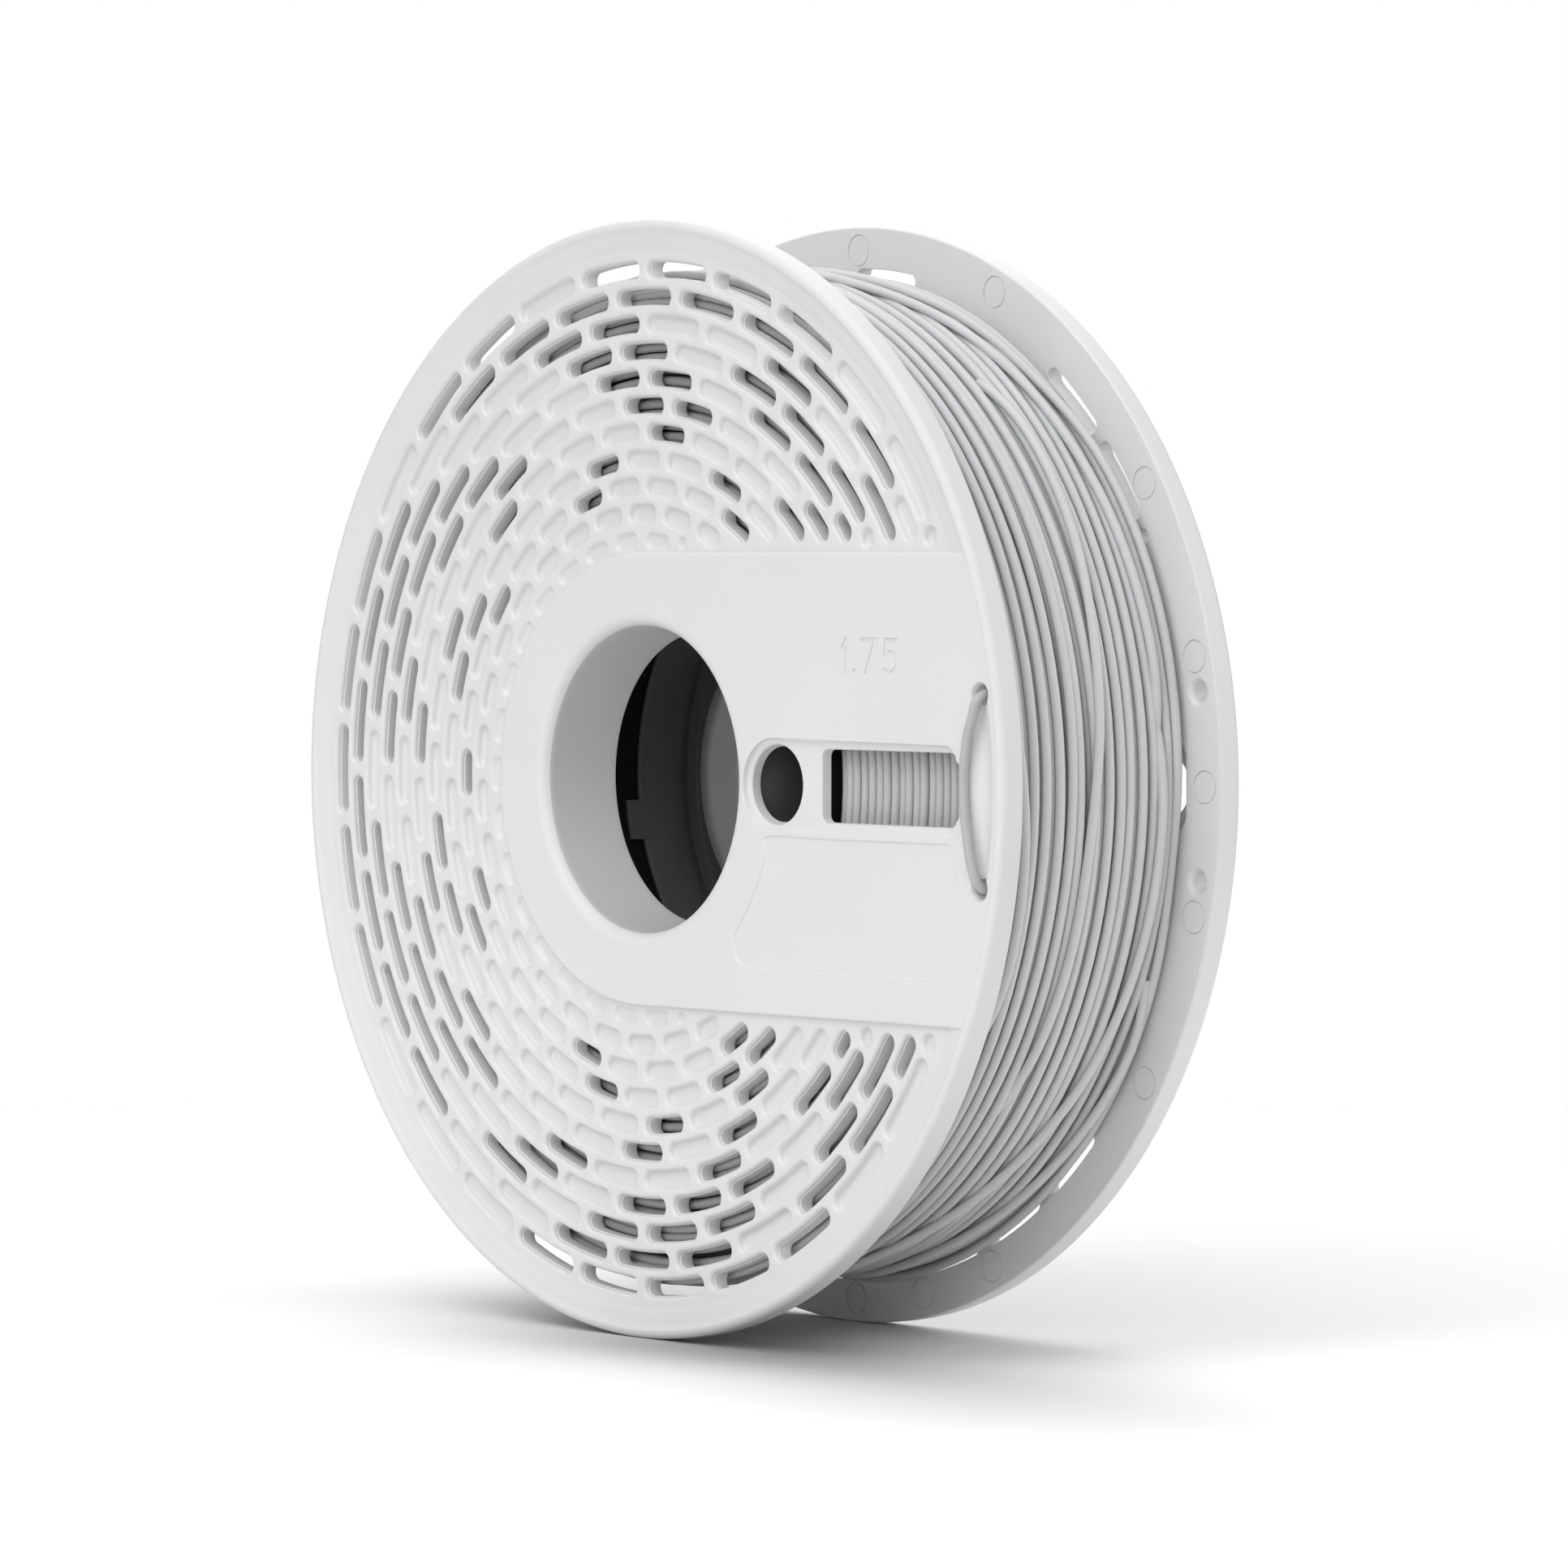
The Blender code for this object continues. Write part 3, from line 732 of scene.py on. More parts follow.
def add_sleeve(shell, is_front):
    """This half's part of the drum; returns its first and last loops."""
    columns = sleeve_columns(has_tabs=not is_front)
    # stations are (radius, depth), and a third value is what the tabs add to the depth
    if is_front:
        end = SEAM_D
        socket = [
            (44.8, end), (44.5, end - 0.3), (44.5, end - 2.7), (44.15, end - 3.0),
            (44.15, end - 5.1), (44.5, end - 5.4), (DRUM_IN, end - 6.2),
        ]
        fitting = socket
    else:
        end = WIDTH - SEAM_D - SEAM_GAP
        tip = end + 2.7
        spigot = [
            (SPIGOT_OUT + 0.3, end),
            (SPIGOT_OUT, end + 0.3),
            (SPIGOT_OUT, tip - 0.4, TAB_LENGTH),
            (SPIGOT_OUT - 0.25, tip, TAB_LENGTH),
            (SPIGOT_IN + 0.25, tip, TAB_LENGTH),
            (SPIGOT_IN, tip - 0.25, TAB_LENGTH),
            (SPIGOT_IN, end),
            (SPIGOT_IN, FLANGE_T + 6.5),
            (DRUM_IN - 0.3, FLANGE_T + 3.0),
            (DRUM_IN, FLANGE_T + 2.2),
        ]
        fitting = spigot
    outside = [
        (DRUM_OUT + 0.6, FLANGE_T), (DRUM_OUT + 0.15, FLANGE_T + 0.2),
        (DRUM_OUT, FLANGE_T + 0.7), (DRUM_OUT, end - 0.3), (DRUM_OUT - 0.3, end),
    ]
    inner_foot = [
        (DRUM_IN, FLANGE_T + 0.5), (DRUM_IN - 0.12, FLANGE_T + 0.12), (DRUM_IN - 0.28, FLANGE_T),
    ]

    def ring(radius, depth, tab=0.0):
        ids = []
        for c in columns:
            on_tab = any(degrees_apart(math.degrees(c), t) <= TAB_HALF + 0.01 for t in TAB_ANGLES)
            reach = depth + (tab if on_tab else 0.0)
            ids.append(shell.point(radius * math.cos(c), radius * math.sin(c), reach))
        return ids

    loops = [ring(*station) for station in outside + fitting + inner_foot]
    shell.chain(loops)
    return loops[0], loops[-1]


# ---- one half of the spool -----------------------------------------------------------
def make_half(name, is_front, open_slots, collar_d, material):
    shell = Shell(-1 if is_front else 1)
    grid, back_outer = add_rim(shell)
    edge = add_panel_edge(shell, grid)
    back_holes = add_web(shell, open_slots, grid, edge[0])

    mouth, collar_foot = add_bore(shell, collar_d)
    pocket, window_back, eye_back = add_pocket(shell)
    label = add_sunk_field(shell, smooth_closed(LABEL, 150), LABEL_EDGE)
    scoop, clip_backs = add_scoop(shell)
    panel_holes = [mouth, pocket, label, scoop]
    if is_front:
        panel_holes += add_numerals(shell)

    # the panel's face ends part of the way up the dish
    rows = range(1, PANEL_ROW + 1)
    bottom_end = [grid[row, BOTTOM_COLUMNS[-1]] for row in rows]
    outer_end = [grid[PANEL_ROW, column] for column in PANEL_COLUMNS]
    top_end = [grid[row, TOP_COLUMNS[-1]] for row in reversed(rows)]
    shell.fill(edge[-1] + bottom_end + outer_end + top_end, panel_holes)

    back_holes += [window_back, *clip_backs, *add_pin_marks(shell)]
    sleeve_outer, sleeve_inner = add_sleeve(shell, is_front)
    shell.fill(back_outer, back_holes + [sleeve_outer])
    shell.fill(sleeve_inner, [collar_foot, eye_back])
    return shell.build(name, material)


# ---- shader building -----------------------------------------------------------------
class Shader:
    """A node tree, with short ways to add nodes, values and links."""

    def __init__(self, tree):
        self.tree = tree
        self.nodes = tree.nodes

    def feed(self, node, sockets):
        """Gives each named input a value, or a link where the value is an output."""
        for key, value in sockets.items():
            if isinstance(value, bpy.types.NodeSocket):
                self.tree.links.new(value, node.inputs[key])
            else:
                node.inputs[key].default_value = value

    def add(self, kind, sockets, **settings):
        node = self.nodes.new("ShaderNode" + kind)
        for key, value in settings.items():
            setattr(node, key, value)
        self.feed(node, sockets)
        return node

    def math(self, operation, a, b=0.0):
        return self.add("Math", {0: a, 1: b}, operation=operation).outputs[0]

    def noise(self, where, scale, detail=2.0):
        sockets = {"Vector": where, "Scale": scale, "Detail": detail}
        return self.add("TexNoise", sockets).outputs["Fac"]

    def remap(self, value, limits, **settings):
        """Map Range; limits are keyed by the names of its inputs."""
        return self.add("MapRange", {"Value": value, **limits}, **settings).outputs["Result"]

    def mix_colour(self, factor, a, b):
        sockets = {"Factor": factor, "A": a, "B": b}
        return self.add("Mix", sockets, data_type="RGBA").outputs["Result"]

    def bump(self, height, strength, distance, extra=None):
        sockets = {"Height": height, "Strength": strength, "Distance": distance}
        return self.add("Bump", {**sockets, **(extra or {})}).outputs["Normal"]


def node_material(name):
    material = bpy.data.materials.new(name)
    material.use_nodes = True
    return material, Shader(material.node_tree), material.node_tree.nodes["Principled BSDF"]


# ---- white moulded plastic -----------------------------------------------------------
# Painted shade: how far the tone is taken down in places that little light reaches
SHADE_INSIDE = 0.72  # between bore and drum, and deep in the rear bore
SHADE_FRONT_BORE = 0.26
SHADE_SLEEVE = 0.98  # in the front sleeve's wall, and the recess behind the window
DUST_RADIUS = 0.018
DUST_RARITY = 0.86
DUST_STRENGTH = 0.5


def painted_shade_mask(shader, where):
    """Painted shade: 0 on the open surfaces, and up to 1 where the moulding's colour is darkened for
    the shade deep inside it.
    """
    calc = shader.math
    axes = shader.add("SeparateXYZ", {"Vector": where}).outputs
    x, y, z = axes["X"], axes["Y"], axes["Z"]

    def below(value, limit):
        return calc("LESS_THAN", value, limit * MM)

    def above(value, limit):
        return calc("GREATER_THAN", value, limit * MM)

    def both(a, b):
        return calc("MULTIPLY", a, b)

    radius = calc("SQRT", calc("ADD", calc("POWER", x, 2.0), calc("POWER", z, 2.0)))
    half = WIDTH / 2
    bore = BORE_FRONT + 0.2
    drum = DRUM_OUT - 0.4

    fade_limits = {
        "From Min": (half - FLANGE_T + 0.3) * MM,
        "From Max": (half - 11.0) * MM,
        "To Min": 0.0,
        "To Max": SHADE_INSIDE,
    }
    deep = shader.remap(calc("ABSOLUTE", y), fade_limits, interpolation_type="SMOOTHSTEP")
    between_flanges = below(calc("ABSOLUTE", y), half - FLANGE_T + 0.15)
    inside = both(between_flanges, both(below(radius, drum), above(radius, bore)))
    in_bore = below(radius, bore)
    rear_bore = both(in_bore, above(y, 0.0))
    front_bore = calc("MULTIPLY", both(in_bore, below(y, 0.0)), SHADE_FRONT_BORE)
    sleeve = both(
        both(above(radius, 44.1), below(radius, drum)),
        both(below(y, SEAM_D + 0.1 - half), above(y, FLANGE_T + 1.0 - half)),
    )
    # the recess behind the window's inner end, painted in shade
    from_slit = calc("ABSOLUTE", calc("SUBTRACT", x, 48.0 * MM))
    slit = both(below(from_slit, 1.75), below(calc("ABSOLUTE", z), 7.5))
    slit = both(slit, both(below(y, 0.0), above(y, 3.25 - half)))

    darkest = calc("MULTIPLY", calc("MAXIMUM", sleeve, slit), SHADE_SLEEVE)
    shade_amount = calc("MAXIMUM", both(deep, rear_bore), darkest)
    shade_amount = calc("MAXIMUM", shade_amount, front_bore)
    return calc("MAXIMUM", shade_amount, calc("MULTIPLY", inside, SHADE_INSIDE))


def shell_material():
    material, shader, plastic = node_material("shell_white_moulded")
    calc = shader.math
    where = shader.add("TexCoord", {}).outputs["Object"]

    # broad, faint flow marks
    cloud = shader.noise(where, scale=28.0, detail=3.0)
    tint = shader.add("ValToRGB", {"Fac": cloud})
    stops = ((0.3, (0.71, 0.712, 0.714, 1)), (0.7, (0.73, 0.732, 0.735, 1)))
    for element, (position, colour) in zip(tint.color_ramp.elements, stops):
        element.position = position
        element.color = colour

    # sparse dust specks, in a few of the cells only
    cells = shader.add("TexVoronoi", {"Vector": where, "Scale": 95.0})
    near_centre = calc("LESS_THAN", cells.outputs["Distance"], DUST_RADIUS)
    chance = shader.add("SeparateColor", {"Color": cells.outputs["Color"]}).outputs["Red"]
    speck = calc("MULTIPLY", near_centre, calc("GREATER_THAN", chance, DUST_RARITY))
    speck = calc("MULTIPLY", speck, DUST_STRENGTH)
    surface = shader.mix_colour(speck, tint.outputs["Color"], (0.3, 0.29, 0.28, 1))

    # painted shade deep inside: the colour is taken towards black, and the specular sheen down with it
    shade_amount = painted_shade_mask(shader, where)
    # a fine spark-eroded grain on broad waves
    grain = shader.bump(shader.noise(where, scale=2600.0), strength=0.12, distance=0.00003)
    waves = shader.bump(
        shader.noise(where, scale=60.0), strength=0.25, distance=0.0001, extra={"Normal": grain}
    )
    shader.feed(plastic, {
        "Base Color": shader.mix_colour(shade_amount, surface, (0.012, 0.012, 0.012, 1)),
        "Specular IOR Level": calc("MULTIPLY", calc("SUBTRACT", 1.0, shade_amount), 0.4),
        "Roughness": shader.remap(cloud, {"To Min": 0.36, "To Max": 0.5}),
        "Normal": waves,
        "IOR": 1.46,
    })
    return material


# ---- extruded grey strand ------------------------------------------------------------
RIDGE_PITCH = 0.34
RIDGE_FOLDS = 6.0  # how often the ridges turn back between the strand's two sides
RIDGE_SKEW = 3.2
RIDGE_TONE = 0.045  # how much the tone changes across a full ridge
GREEN_SHARE, BLUE_SHARE = 1.016, 1.035  # of the red value


def strand_material(name, ridges, value):
    """Grey strand with fine diagonal ridges that cross like a herringbone."""
    material, shader, strand = node_material(name)
    calc = shader.math
    along, around = (
        shader.add("Attribute", {}, attribute_name=attribute).outputs["Fac"]
        for attribute in ("along_mm", "around")
    )
    fold = calc("PINGPONG", calc("MULTIPLY", around, RIDGE_FOLDS), 1.0)
    straight = calc("MULTIPLY", along, 2 * math.pi / RIDGE_PITCH)
    skewed = calc("ADD", straight, calc("MULTIPLY", fold, RIDGE_SKEW))
    wave = calc("SINE", skewed, 0.5)  # a sine leaves its second input unused

    # the ridges come and go in broad patches
    cloud = shader.noise(shader.add("TexCoord", {}).outputs["Object"], scale=120.0)
    patches = calc("SUBTRACT", calc("MULTIPLY", cloud, 2.2), 0.35)
    ridge = calc("MULTIPLY", wave, patches)
    tone = shader.remap(ridge, {
        "From Min": -1.0,
        "From Max": 1.0,
        "To Min": value * (1 - RIDGE_TONE * ridges),
        "To Max": value * (1 + RIDGE_TONE * ridges),
    })
    colour = shader.add("CombineColor", {
        "Red": tone,
        "Green": calc("MULTIPLY", tone, GREEN_SHARE),
        "Blue": calc("MULTIPLY", tone, BLUE_SHARE),
    })
    shader.feed(strand, {
        "Base Color": colour.outputs["Color"],
        "Roughness": shader.remap(cloud, {"To Min": 0.38, "To Max": 0.55}),
        "Normal": shader.bump(ridge, strength=0.55 * ridges, distance=0.00002),
        "Specular IOR Level": 0.45,
    })
    return material


# ---- strands -------------------------------------------------------------------------
class Strands:
    """Collects round strands into one mesh, with attributes along and around them."""

    def __init__(self):
        self.verts = []
        self.faces = []
        self.along = []
        self.around = []

    def add(self, centres, sides, up=None):
        """A strand along its centres; its first side faces up, or away from the axis."""
        centres = np.array(centres, float)
        count = len(centres)
        tangent = np.gradient(centres, axis=0)
        tangent /= np.linalg.norm(tangent, axis=1, keepdims=True)
        if up is None:
            out = centres * np.array([1, 0, 1])
        else:
            out = np.broadcast_to(np.array(up, float), centres.shape).copy()
        out = out - tangent * np.sum(out * tangent, axis=1, keepdims=True)
        out /= np.linalg.norm(out, axis=1, keepdims=True)
        across = np.cross(tangent, out)
        steps = np.linalg.norm(np.diff(centres, axis=0), axis=1)
        length = np.r_[0, np.cumsum(steps)]
        base = len(self.verts)
        for i in range(count):
            for k in range(sides):
                a = 2 * math.pi * k / sides
                arm = math.cos(a) * out[i] + math.sin(a) * across[i]
                self.verts.append(centres[i] + STRAND * arm)
                self.along.append(length[i])
                self.around.append(k / sides if k <= sides / 2 else 1 - k / sides)
        for i in range(count - 1):
            here, there = base + i * sides, base + (i + 1) * sides
            for k in range(sides):
                m = (k + 1) % sides
                self.faces.append((here + k, there + k, there + m, here + m))
        last = base + (count - 1) * sides
        self.faces.append(tuple(base + k for k in range(sides)))
        self.faces.append(tuple(last + k for k in reversed(range(sides))))

    def build(self, name, material):
        mesh = bpy.data.meshes.new(name)
        mesh.from_pydata([Vector(v) * MM for v in self.verts], [], self.faces)
        mesh.materials.append(material)
        for key, values in (("along_mm", self.along), ("around", self.around)):
            attribute = mesh.attributes.new(key, "FLOAT", "POINT")
            attribute.data.foreach_set("value", np.array(values, np.float32))
        bm = bmesh.new()
        bm.from_mesh(mesh)
        bmesh.ops.recalc_face_normals(bm, faces=bm.faces)
        bm.to_mesh(mesh)
        bm.free()
        return smooth_object(name, mesh, 60)


def smooth_noise(count, knots, spread):
    """A random curve with the given number of free knots, eased between them."""
    levels = rng.normal(0, spread, knots + 1)
    at = np.linspace(0, knots, count)
    i = np.clip(at.astype(int), 0, knots - 1)
    t = at - i
    t = t * t * (3 - 2 * t)
    return levels[i] * (1 - t) + levels[i + 1] * t


def smoothed(values, width):
    kernel = np.hanning(width + 2)[1:-1]
    kernel /= kernel.sum()
    return np.convolve(np.pad(values, width // 2, mode="edge"), kernel, mode="valid")


# ---- winding -------------------------------------------------------------------------
PER_TURN = 120
FRONT_INNER = -WIDTH / 2 + FLANGE_T  # inner faces of the flanges
REAR_INNER = WIDTH / 2 - FLANGE_T
WIND_FIRST = FRONT_INNER + STRAND + 0.2
WIND_LAST = REAR_INNER - STRAND - 0.2
BED_R = COIL_OUT - 3 * STRAND - 1.9

# Strands that cross over the last layer: a path of (angle in degrees, share of the width)
# from the front, and the angle over which the strand's ends sink in
CROSSINGS = [
    ([(-96, 0.99), (-60, 0.985), (-20, 0.985), (20, 0.975), (38, 0.955),
      (56, 0.90), (72, 0.78), (90, 0.58), (112, 0.34), (140, 0.20)], 14),
    ([(4, 0.90), (20, 0.885), (36, 0.86), (52, 0.80),
      (66, 0.70), (80, 0.55), (98, 0.38), (120, 0.28)], 12),
    ([(-88, 0.30), (-72, 0.40), (-56, 0.58), (-44, 0.72),
      (-30, 0.83), (-12, 0.88), (8, 0.90)], 12),
    ([(-84, 0.72), (-66, 0.80), (-50, 0.90), (-38, 0.955), (-22, 0.965)], 10),
    ([(-40, 0.44), (-20, 0.49), (0, 0.52), (16, 0.60), (34, 0.64), (52, 0.63)], 12),
    ([(-30, 0.20), (-8, 0.17), (12, 0.10), (34, 0.07), (60, 0.08)], 12),
]
CROSSING_SINK = 2.4

WALL_PITCH = 2.0
# The two strands of a side wall: (pitches set out, radial spread, distance in, phase)
WALL_STRANDS = [(0.0, 0.16, 0.35, 0.0), (0.5, 0.2, 1.55, 0.9)]


def helix_layer(pitch, first, last, wander, knots_per_turn, phase):
    """theta and y of a strand that travels from first to last at the given pitch."""
    turns = abs(last - first) / pitch
    count = int(turns * PER_TURN)
    steps = np.arange(count + 1)
    theta = phase + 2 * math.pi * turns * steps / count
    y = first + (last - first) * steps / count
    y = y + smooth_noise(count + 1, int(turns * knots_per_turn), wander)
    return theta, np.clip(y, FRONT_INNER + STRAND + 0.15, REAR_INNER - STRAND - 0.15)


def rest_on(theta, y, layers, base_r):
    """Radius at which a strand rests on the layers (theta, y, radius) below it."""
    radius = np.full(len(theta), base_r)
    for layer_theta, layer_y, layer_r in layers:
        for i, angle in enumerate(theta):
            first = math.ceil((layer_theta[0] - angle) / (2 * math.pi))
            last = math.floor((layer_theta[-1] - angle) / (2 * math.pi))
            if last < first:
                continue
            passes = angle + 2 * math.pi * np.arange(first, last + 1)
            gap = np.abs(np.interp(passes, layer_theta, layer_y) - y[i])
            under = np.interp(passes, layer_theta, layer_r)
            touch = gap < 2 * STRAND
            if touch.any():
                rest = under[touch] + np.sqrt((2 * STRAND) ** 2 - gap[touch] ** 2)
                radius[i] = max(radius[i], float(rest.max()))
    return smoothed(radius, 9)


def points_of(theta, y, radius):
    return np.c_[radius * np.cos(theta), y, radius * np.sin(theta)]


def crossing(path, sink_angle, layers):
    """theta, y and radius of a strand over the layers, sinking in at both ends."""
    stations, shares = np.array(path, float).T
    count = int((stations[-1] - stations[0]) / 2.5)
    angles = np.linspace(stations[0], stations[-1], count + 1)
    share = smoothed(np.interp(angles, stations, shares), 13)
    y = WIND_FIRST + share * (REAR_INNER - FRONT_INNER - 2 * STRAND - 0.4)
    theta = np.radians(angles)
    radius = rest_on(theta, y, layers, BED_R + 1.0)
    from_end = np.minimum(angles - angles[0], angles[-1] - angles)
    sink = CROSSING_SINK * np.clip(1 - from_end / sink_angle, 0, 1) ** 2
    return theta, y, radius, sink


def make_outer_layers(material):
    """The layers that show; returns the object and how far they are all moved outwards."""
    # an even bed, a looser layer on it, and a sparse last layer
    bed_theta, bed_y = helix_layer(
        pitch=1.9, first=WIND_FIRST, last=WIND_LAST, wander=0.05, knots_per_turn=2, phase=0.0
    )
    bed = bed_theta, bed_y, np.full(len(bed_theta), BED_R)
    middle_path = helix_layer(
        pitch=2.15, first=WIND_LAST, last=WIND_FIRST, wander=0.30, knots_per_turn=3, phase=0.6
    )
    middle = *middle_path, rest_on(*middle_path, [bed], BED_R)
    top_path = helix_layer(
        pitch=2.75, first=WIND_FIRST, last=WIND_LAST, wander=0.50, knots_per_turn=3, phase=1.9
    )
    top = *top_path, rest_on(*top_path, [middle], BED_R + 1.0)
    shift = (COIL_OUT - 0.15) - (top[2].max() + STRAND)

    strands = Strands()
    for theta, y, radius in (bed, middle, top):
        strands.add(points_of(theta, y, radius + shift), sides=12)
    layers = [middle, top]
    for path, sink_angle in CROSSINGS:
        theta, y, radius, sink = crossing(path, sink_angle, layers)
        radius = radius - sink
        strands.add(points_of(theta, y, radius + shift), sides=12)
        layers.append((theta, y, radius))
    return strands.build("winding_outer_layers", material), shift


def make_wall(name, face, inwards, phase, outer_r, material):
    """A side wall of the winding: two strands that climb outwards in a spiral."""
    strands = Strands()
    inner_r = DRUM_OUT + STRAND + 0.5
    turns = (outer_r - inner_r) / WALL_PITCH
    count = int(turns * PER_TURN)
    share = np.arange(count + 1) / count
    theta = 2 * math.pi * turns * share * inwards + phase
    for pitches_out, spread, distance, lead in WALL_STRANDS:
        start = pitches_out * WALL_PITCH
        radius = inner_r + start + (outer_r - inner_r - start) * share
        radius = radius + smooth_noise(count + 1, int(turns * 4), spread)
        wander = np.abs(smooth_noise(count + 1, int(turns * 3), 0.35))
        y = face + inwards * (STRAND + distance + wander)
        strands.add(points_of(theta + lead, y, radius), sides=10)
    return strands.build(name, material)


def make_core(material):
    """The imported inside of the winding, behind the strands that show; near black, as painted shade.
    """
    shell = Shell(-1)
    # (radius, depth) from the drum out to the rim; the rear is the mirror of the front
    front_side = [
        (DRUM_OUT + 0.15, 8.2), (60.0, 8.0), (75.0, 8.1), (84.0, 8.3), (86.2, 9.2), (86.6, 12.0),
    ]
    rear_side = [(radius, WIDTH - depth) for radius, depth in reversed(front_side)]
    loops = shell.round_loops(0, 0, 120, front_side + [(86.7, WIDTH / 2)] + rear_side)
    shell.chain(loops + loops[:1])
    return shell.build("winding_core", material)


# ---- free end ------------------------------------------------------------------------
def tail_centres():
    """Up through one clip hole, along the scoop on the front face and down the other."""
    over = PANEL_D - 0.12 - STRAND
    x, z = CLIP_X, CLIP_Z
    # (x, depth from the front face, z)
    knots = [
        (x, 6.4, z), (x, 3.2, z), (x, 1.3, z), (x - 0.25, -0.3, z - 1.2),
        (93.0, over + 0.1, 12.6), (91.8, over, 9.0), (91.0, over + 0.05, 4.2),
        (90.85, over + 0.08, 0.0), (91.3, over + 0.05, -4.8), (92.4, over, -10.2),
        (93.0, over + 0.1, -12.8), (x - 0.2, -0.3, 1.2 - z), (x, 1.3, -z),
        (x, 3.2, -z), (x, 6.4, -z),
    ]
    knots = [np.array(knot) for knot in knots]
    knots = [2 * knots[0] - knots[1]] + knots + [2 * knots[-1] - knots[-2]]
    path = []
    for four in zip(knots, knots[1:], knots[2:], knots[3:]):
        path += catmull_rom(*four, 8)
    path.append(knots[-2])
    return [(x, -WIDTH / 2 + depth, z) for x, depth, z in path]


# ---- build ---------------------------------------------------------------------------
white = shell_material()
strand_grey = strand_material("filament_grey_strand", ridges=1.0, value=0.61)
# the winding's side walls: the same strand, painted darker for the shade between the flanges
wall_grey_shaded = strand_material("filament_grey_wall_shaded", ridges=1.0, value=0.5)
tail_grey = strand_material("filament_grey_tail", ridges=0.35, value=0.45)
# the winding's inside: the grey strand painted near black, as shade where no strands show
core_painted_shade = strand_material("winding_core_painted_shade", ridges=0.2, value=0.06)

front = make_half("front_flange_detailed", True, OPEN_FRONT, FRONT_COLLAR_D, white)
rear = make_half("rear_flange_detailed", False, OPEN_REAR, REAR_COLLAR_D, white)
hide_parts("front_flange")
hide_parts("rear_flange")
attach(front, "front_half")
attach(rear, "rear_half")

outer_layers, layer_shift = make_outer_layers(strand_grey)
wall_r = float(BED_R + layer_shift) - 1.2
winding = [
    outer_layers,
    make_wall("winding_front_wall", FRONT_INNER, 1, 0.4, wall_r, wall_grey_shaded),
    make_wall("winding_rear_wall", REAR_INNER, -1, 2.2, wall_r, wall_grey_shaded),
    make_core(core_painted_shade),
]
for piece in winding:
    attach(piece, "front_half")
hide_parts("filament_winding")

tail_strand = Strands()
tail_strand.add(tail_centres(), sides=20, up=(0, 1, 0.001))
tail = tail_strand.build("filament_free_end", tail_grey)
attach(tail, "free_end")
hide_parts("filament_tail")

# ---- studio --------------------------------------------------------------------------
scene = bpy.context.scene
scene.view_settings.view_transform = "Standard"
scene.view_settings.look = "None"
scene.cycles.use_denoising = True
scene.cycles.diffuse_bounces = 3

FLOOR_HALF = 6.0  # metres
FLOOR_WHITE = (0.97, 0.97, 0.97, 1)
FLOOR_FADE = (0.28, 0.75)  # metres from the spool's centre
# Painted contact shadow on the floor, as soft dark patches: (strength, centre x, centre y, spread x,
# spread y)
PAINTED_SHADOWS = [
    (0.6, 30.0, -28.0, 42.0, 17.0),
    (0.2, 112.0, -46.0, 44.0, 24.0),
    (0.05, -90.0, -6.0, 70.0, 30.0),
]


def floor_material():
    """Pale floor, with a painted contact shadow near the flanges, and clear far from the spool."""
    material, shader, surface = node_material("floor_pale")
    calc = shader.math
    position = shader.add("NewGeometry", {}).outputs["Position"]
    axes = shader.add("SeparateXYZ", {0: position}).outputs

    def squared_distance(axis, centre, spread):
        away = calc("DIVIDE", calc("SUBTRACT", axes[axis], centre * MM), spread * MM)
        return calc("POWER", calc("ABSOLUTE", away), 2.0)

    # the painted shadow: each dark patch takes the floor's colour down towards black
    shadow_amount = 0.0
    for strength, centre_x, centre_y, spread_x, spread_y in PAINTED_SHADOWS:
        across = squared_distance("X", centre_x, spread_x)
        along = squared_distance("Y", centre_y, spread_y)
        shadow_patch = calc("EXPONENT", calc("MULTIPLY", calc("ADD", across, along), -0.5))
        shadow_amount = calc("ADD", shadow_amount, calc("MULTIPLY", shadow_patch, strength))
    shader.feed(surface, {
        "Base Color": shader.mix_colour(shadow_amount, FLOOR_WHITE, (0.0, 0.0, 0.0, 1)),
        "Roughness": 0.9,
        "Specular IOR Level": 0.1,
    })

    position = shader.add("NewGeometry", {}).outputs["Position"]
    distance = shader.add("VectorMath", {}, operation="LENGTH")
    shader.feed(distance, {0: position})
    fade = shader.remap(
        distance.outputs["Value"],
        {"From Min": FLOOR_FADE[0], "From Max": FLOOR_FADE[1]},
        interpolation_type="SMOOTHSTEP",
    )
    clear = shader.add("BsdfTransparent", {}).outputs["BSDF"]
    blend = shader.add("MixShader", {"Fac": fade, 1: surface.outputs["BSDF"], 2: clear})
    shader.feed(shader.nodes["Material Output"], {"Surface": blend.outputs["Shader"]})
    return material


def make_floor():
    mesh = bpy.data.meshes.new("floor")
    corners = ((-1, -1), (1, -1), (1, 1), (-1, 1))
    verts = [(FLOOR_HALF * x, FLOOR_HALF * y, -FLANGE_R * MM) for x, y in corners]
    mesh.from_pydata(verts, [], [(0, 1, 2, 3)])
    floor = bpy.data.objects.new("floor", mesh)
    scene.collection.objects.link(floor)
    mesh.materials.append(floor_material())
    return floor


def make_world():
    """A white backdrop that lights the spool more weakly than it shows."""
    world = bpy.data.worlds.new("studio")
    scene.world = world
    world.use_nodes = True
    shader = Shader(world.node_tree)
    seen = shader.add("LightPath", {}).outputs["Is Camera Ray"]
    strength = shader.add("Mix", {"Factor": seen, "A": 0.25, "B": 1.0}, data_type="FLOAT")
    background = shader.nodes["Background"]
    shader.feed(background, {"Color": (1, 1, 1, 1), "Strength": strength.outputs["Result"]})


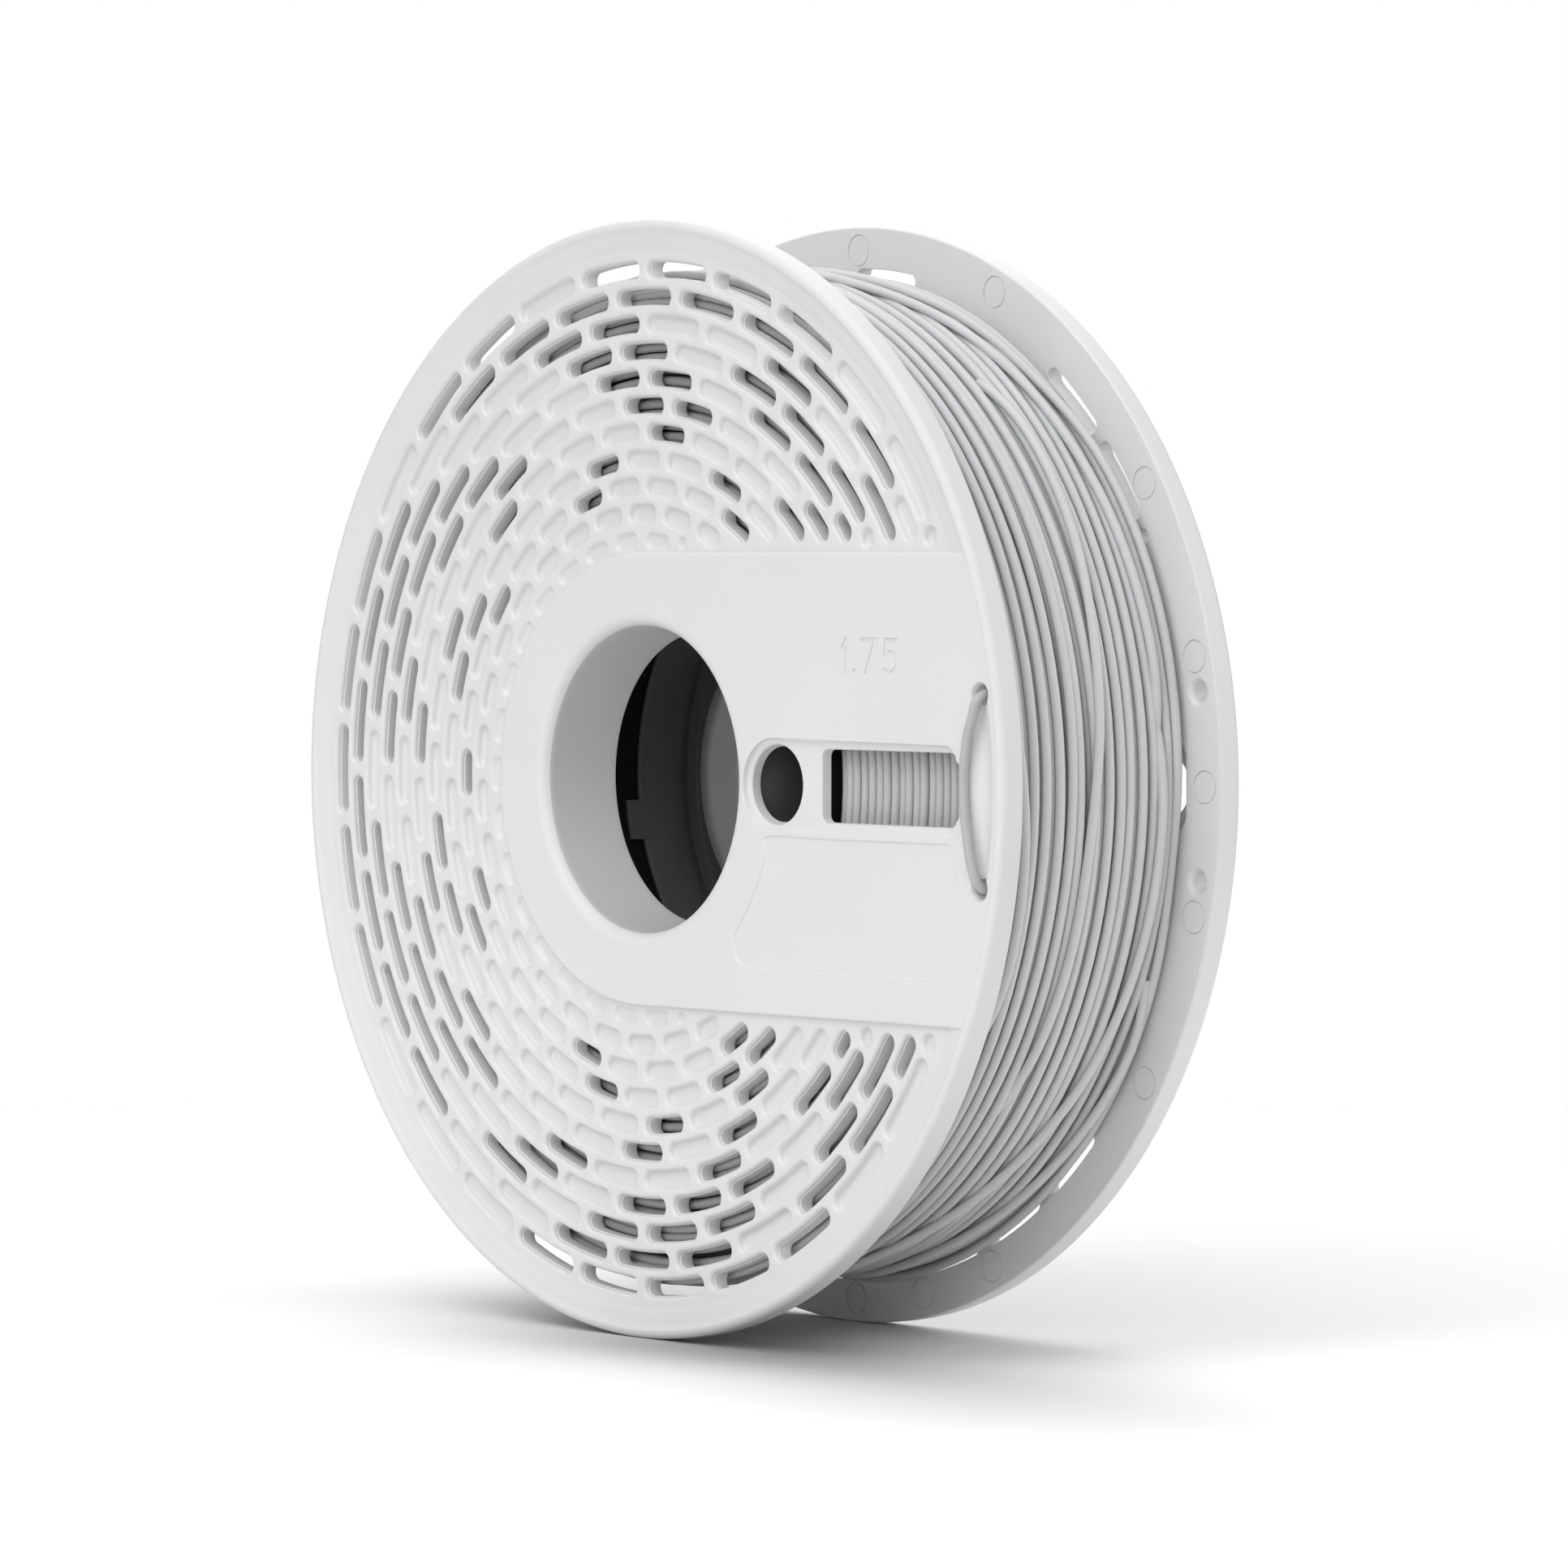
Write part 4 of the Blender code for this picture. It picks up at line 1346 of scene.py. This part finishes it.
# Square lights aimed at the origin: (name, place in metres, side in metres, watts)
SOFTBOXES = [
    ("top_softbox", (0.0, 0.0, 1.5), 1.2, 7.9),
    ("top_front_softbox", (0.10, -0.985, 1.2), 1.0, 9.4),
    ("front_softbox", (1.24, -1.01, 0.7), 1.1, 7.2),
    ("left_softbox", (0.014, -1.56, 0.45), 1.1, 5.0),
    ("right_softbox", (0.96, 1.02, 0.5), 1.1, 6.8),
    ("back_softbox", (-0.93, 0.76, 0.9), 1.2, 6.9),
]


def make_softbox(name, place, side, watts):
    light = bpy.data.lights.new(name, "AREA")
    light.shape = "RECTANGLE"
    light.size = side
    light.size_y = side
    light.energy = watts
    obj = bpy.data.objects.new(name, light)
    obj.location = place
    aim = Vector((0, 0, 0)) - Vector(place)
    obj.rotation_euler = aim.to_track_quat("-Z", "Y").to_euler()
    scene.collection.objects.link(obj)


make_floor()
make_world()
for softbox in SOFTBOXES:
    make_softbox(*softbox)

# ---- camera --------------------------------------------------------------------------
CAMERA_LENS = 179.0031
CAMERA_AZIMUTH = 50.75  # degrees from -Y towards +X
CAMERA_ELEVATION = 1.45
CAMERA_DISTANCE = 1392.3
CAMERA_RIGHT, CAMERA_UP = 25.21836, -1.275411  # moved sideways in its own frame
CAMERA_TURN = -0.2  # degrees about the spool's axis
CAMERA_ORIGIN = (1.5, 0.3 - WIDTH / 2, 0.5)  # near the middle of the front face


def camera_matrix():
    azimuth, elevation = math.radians(CAMERA_AZIMUTH), math.radians(CAMERA_ELEVATION)
    level = math.cos(elevation)
    back = Vector((math.sin(azimuth) * level, -math.cos(azimuth) * level, math.sin(elevation)))
    right = Vector((0, 0, 1)).cross(back).normalized()
    up = back.cross(right)
    place = back * CAMERA_DISTANCE + right * CAMERA_RIGHT + up * CAMERA_UP
    spin = Matrix.Rotation(math.radians(CAMERA_TURN), 3, "Y")
    matrix = (spin @ Matrix((right, up, back)).transposed()).to_4x4()
    matrix.translation = (spin @ place + Vector(CAMERA_ORIGIN)) * MM
    return matrix


camera_data = bpy.data.cameras.new("camera")
camera_data.sensor_width = 36.0
camera_data.lens = CAMERA_LENS
camera_data.clip_start = 0.05
camera_data.clip_end = 20.0
camera = bpy.data.objects.new("camera", camera_data)
camera.matrix_world = camera_matrix()
scene.collection.objects.link(camera)
scene.camera = camera
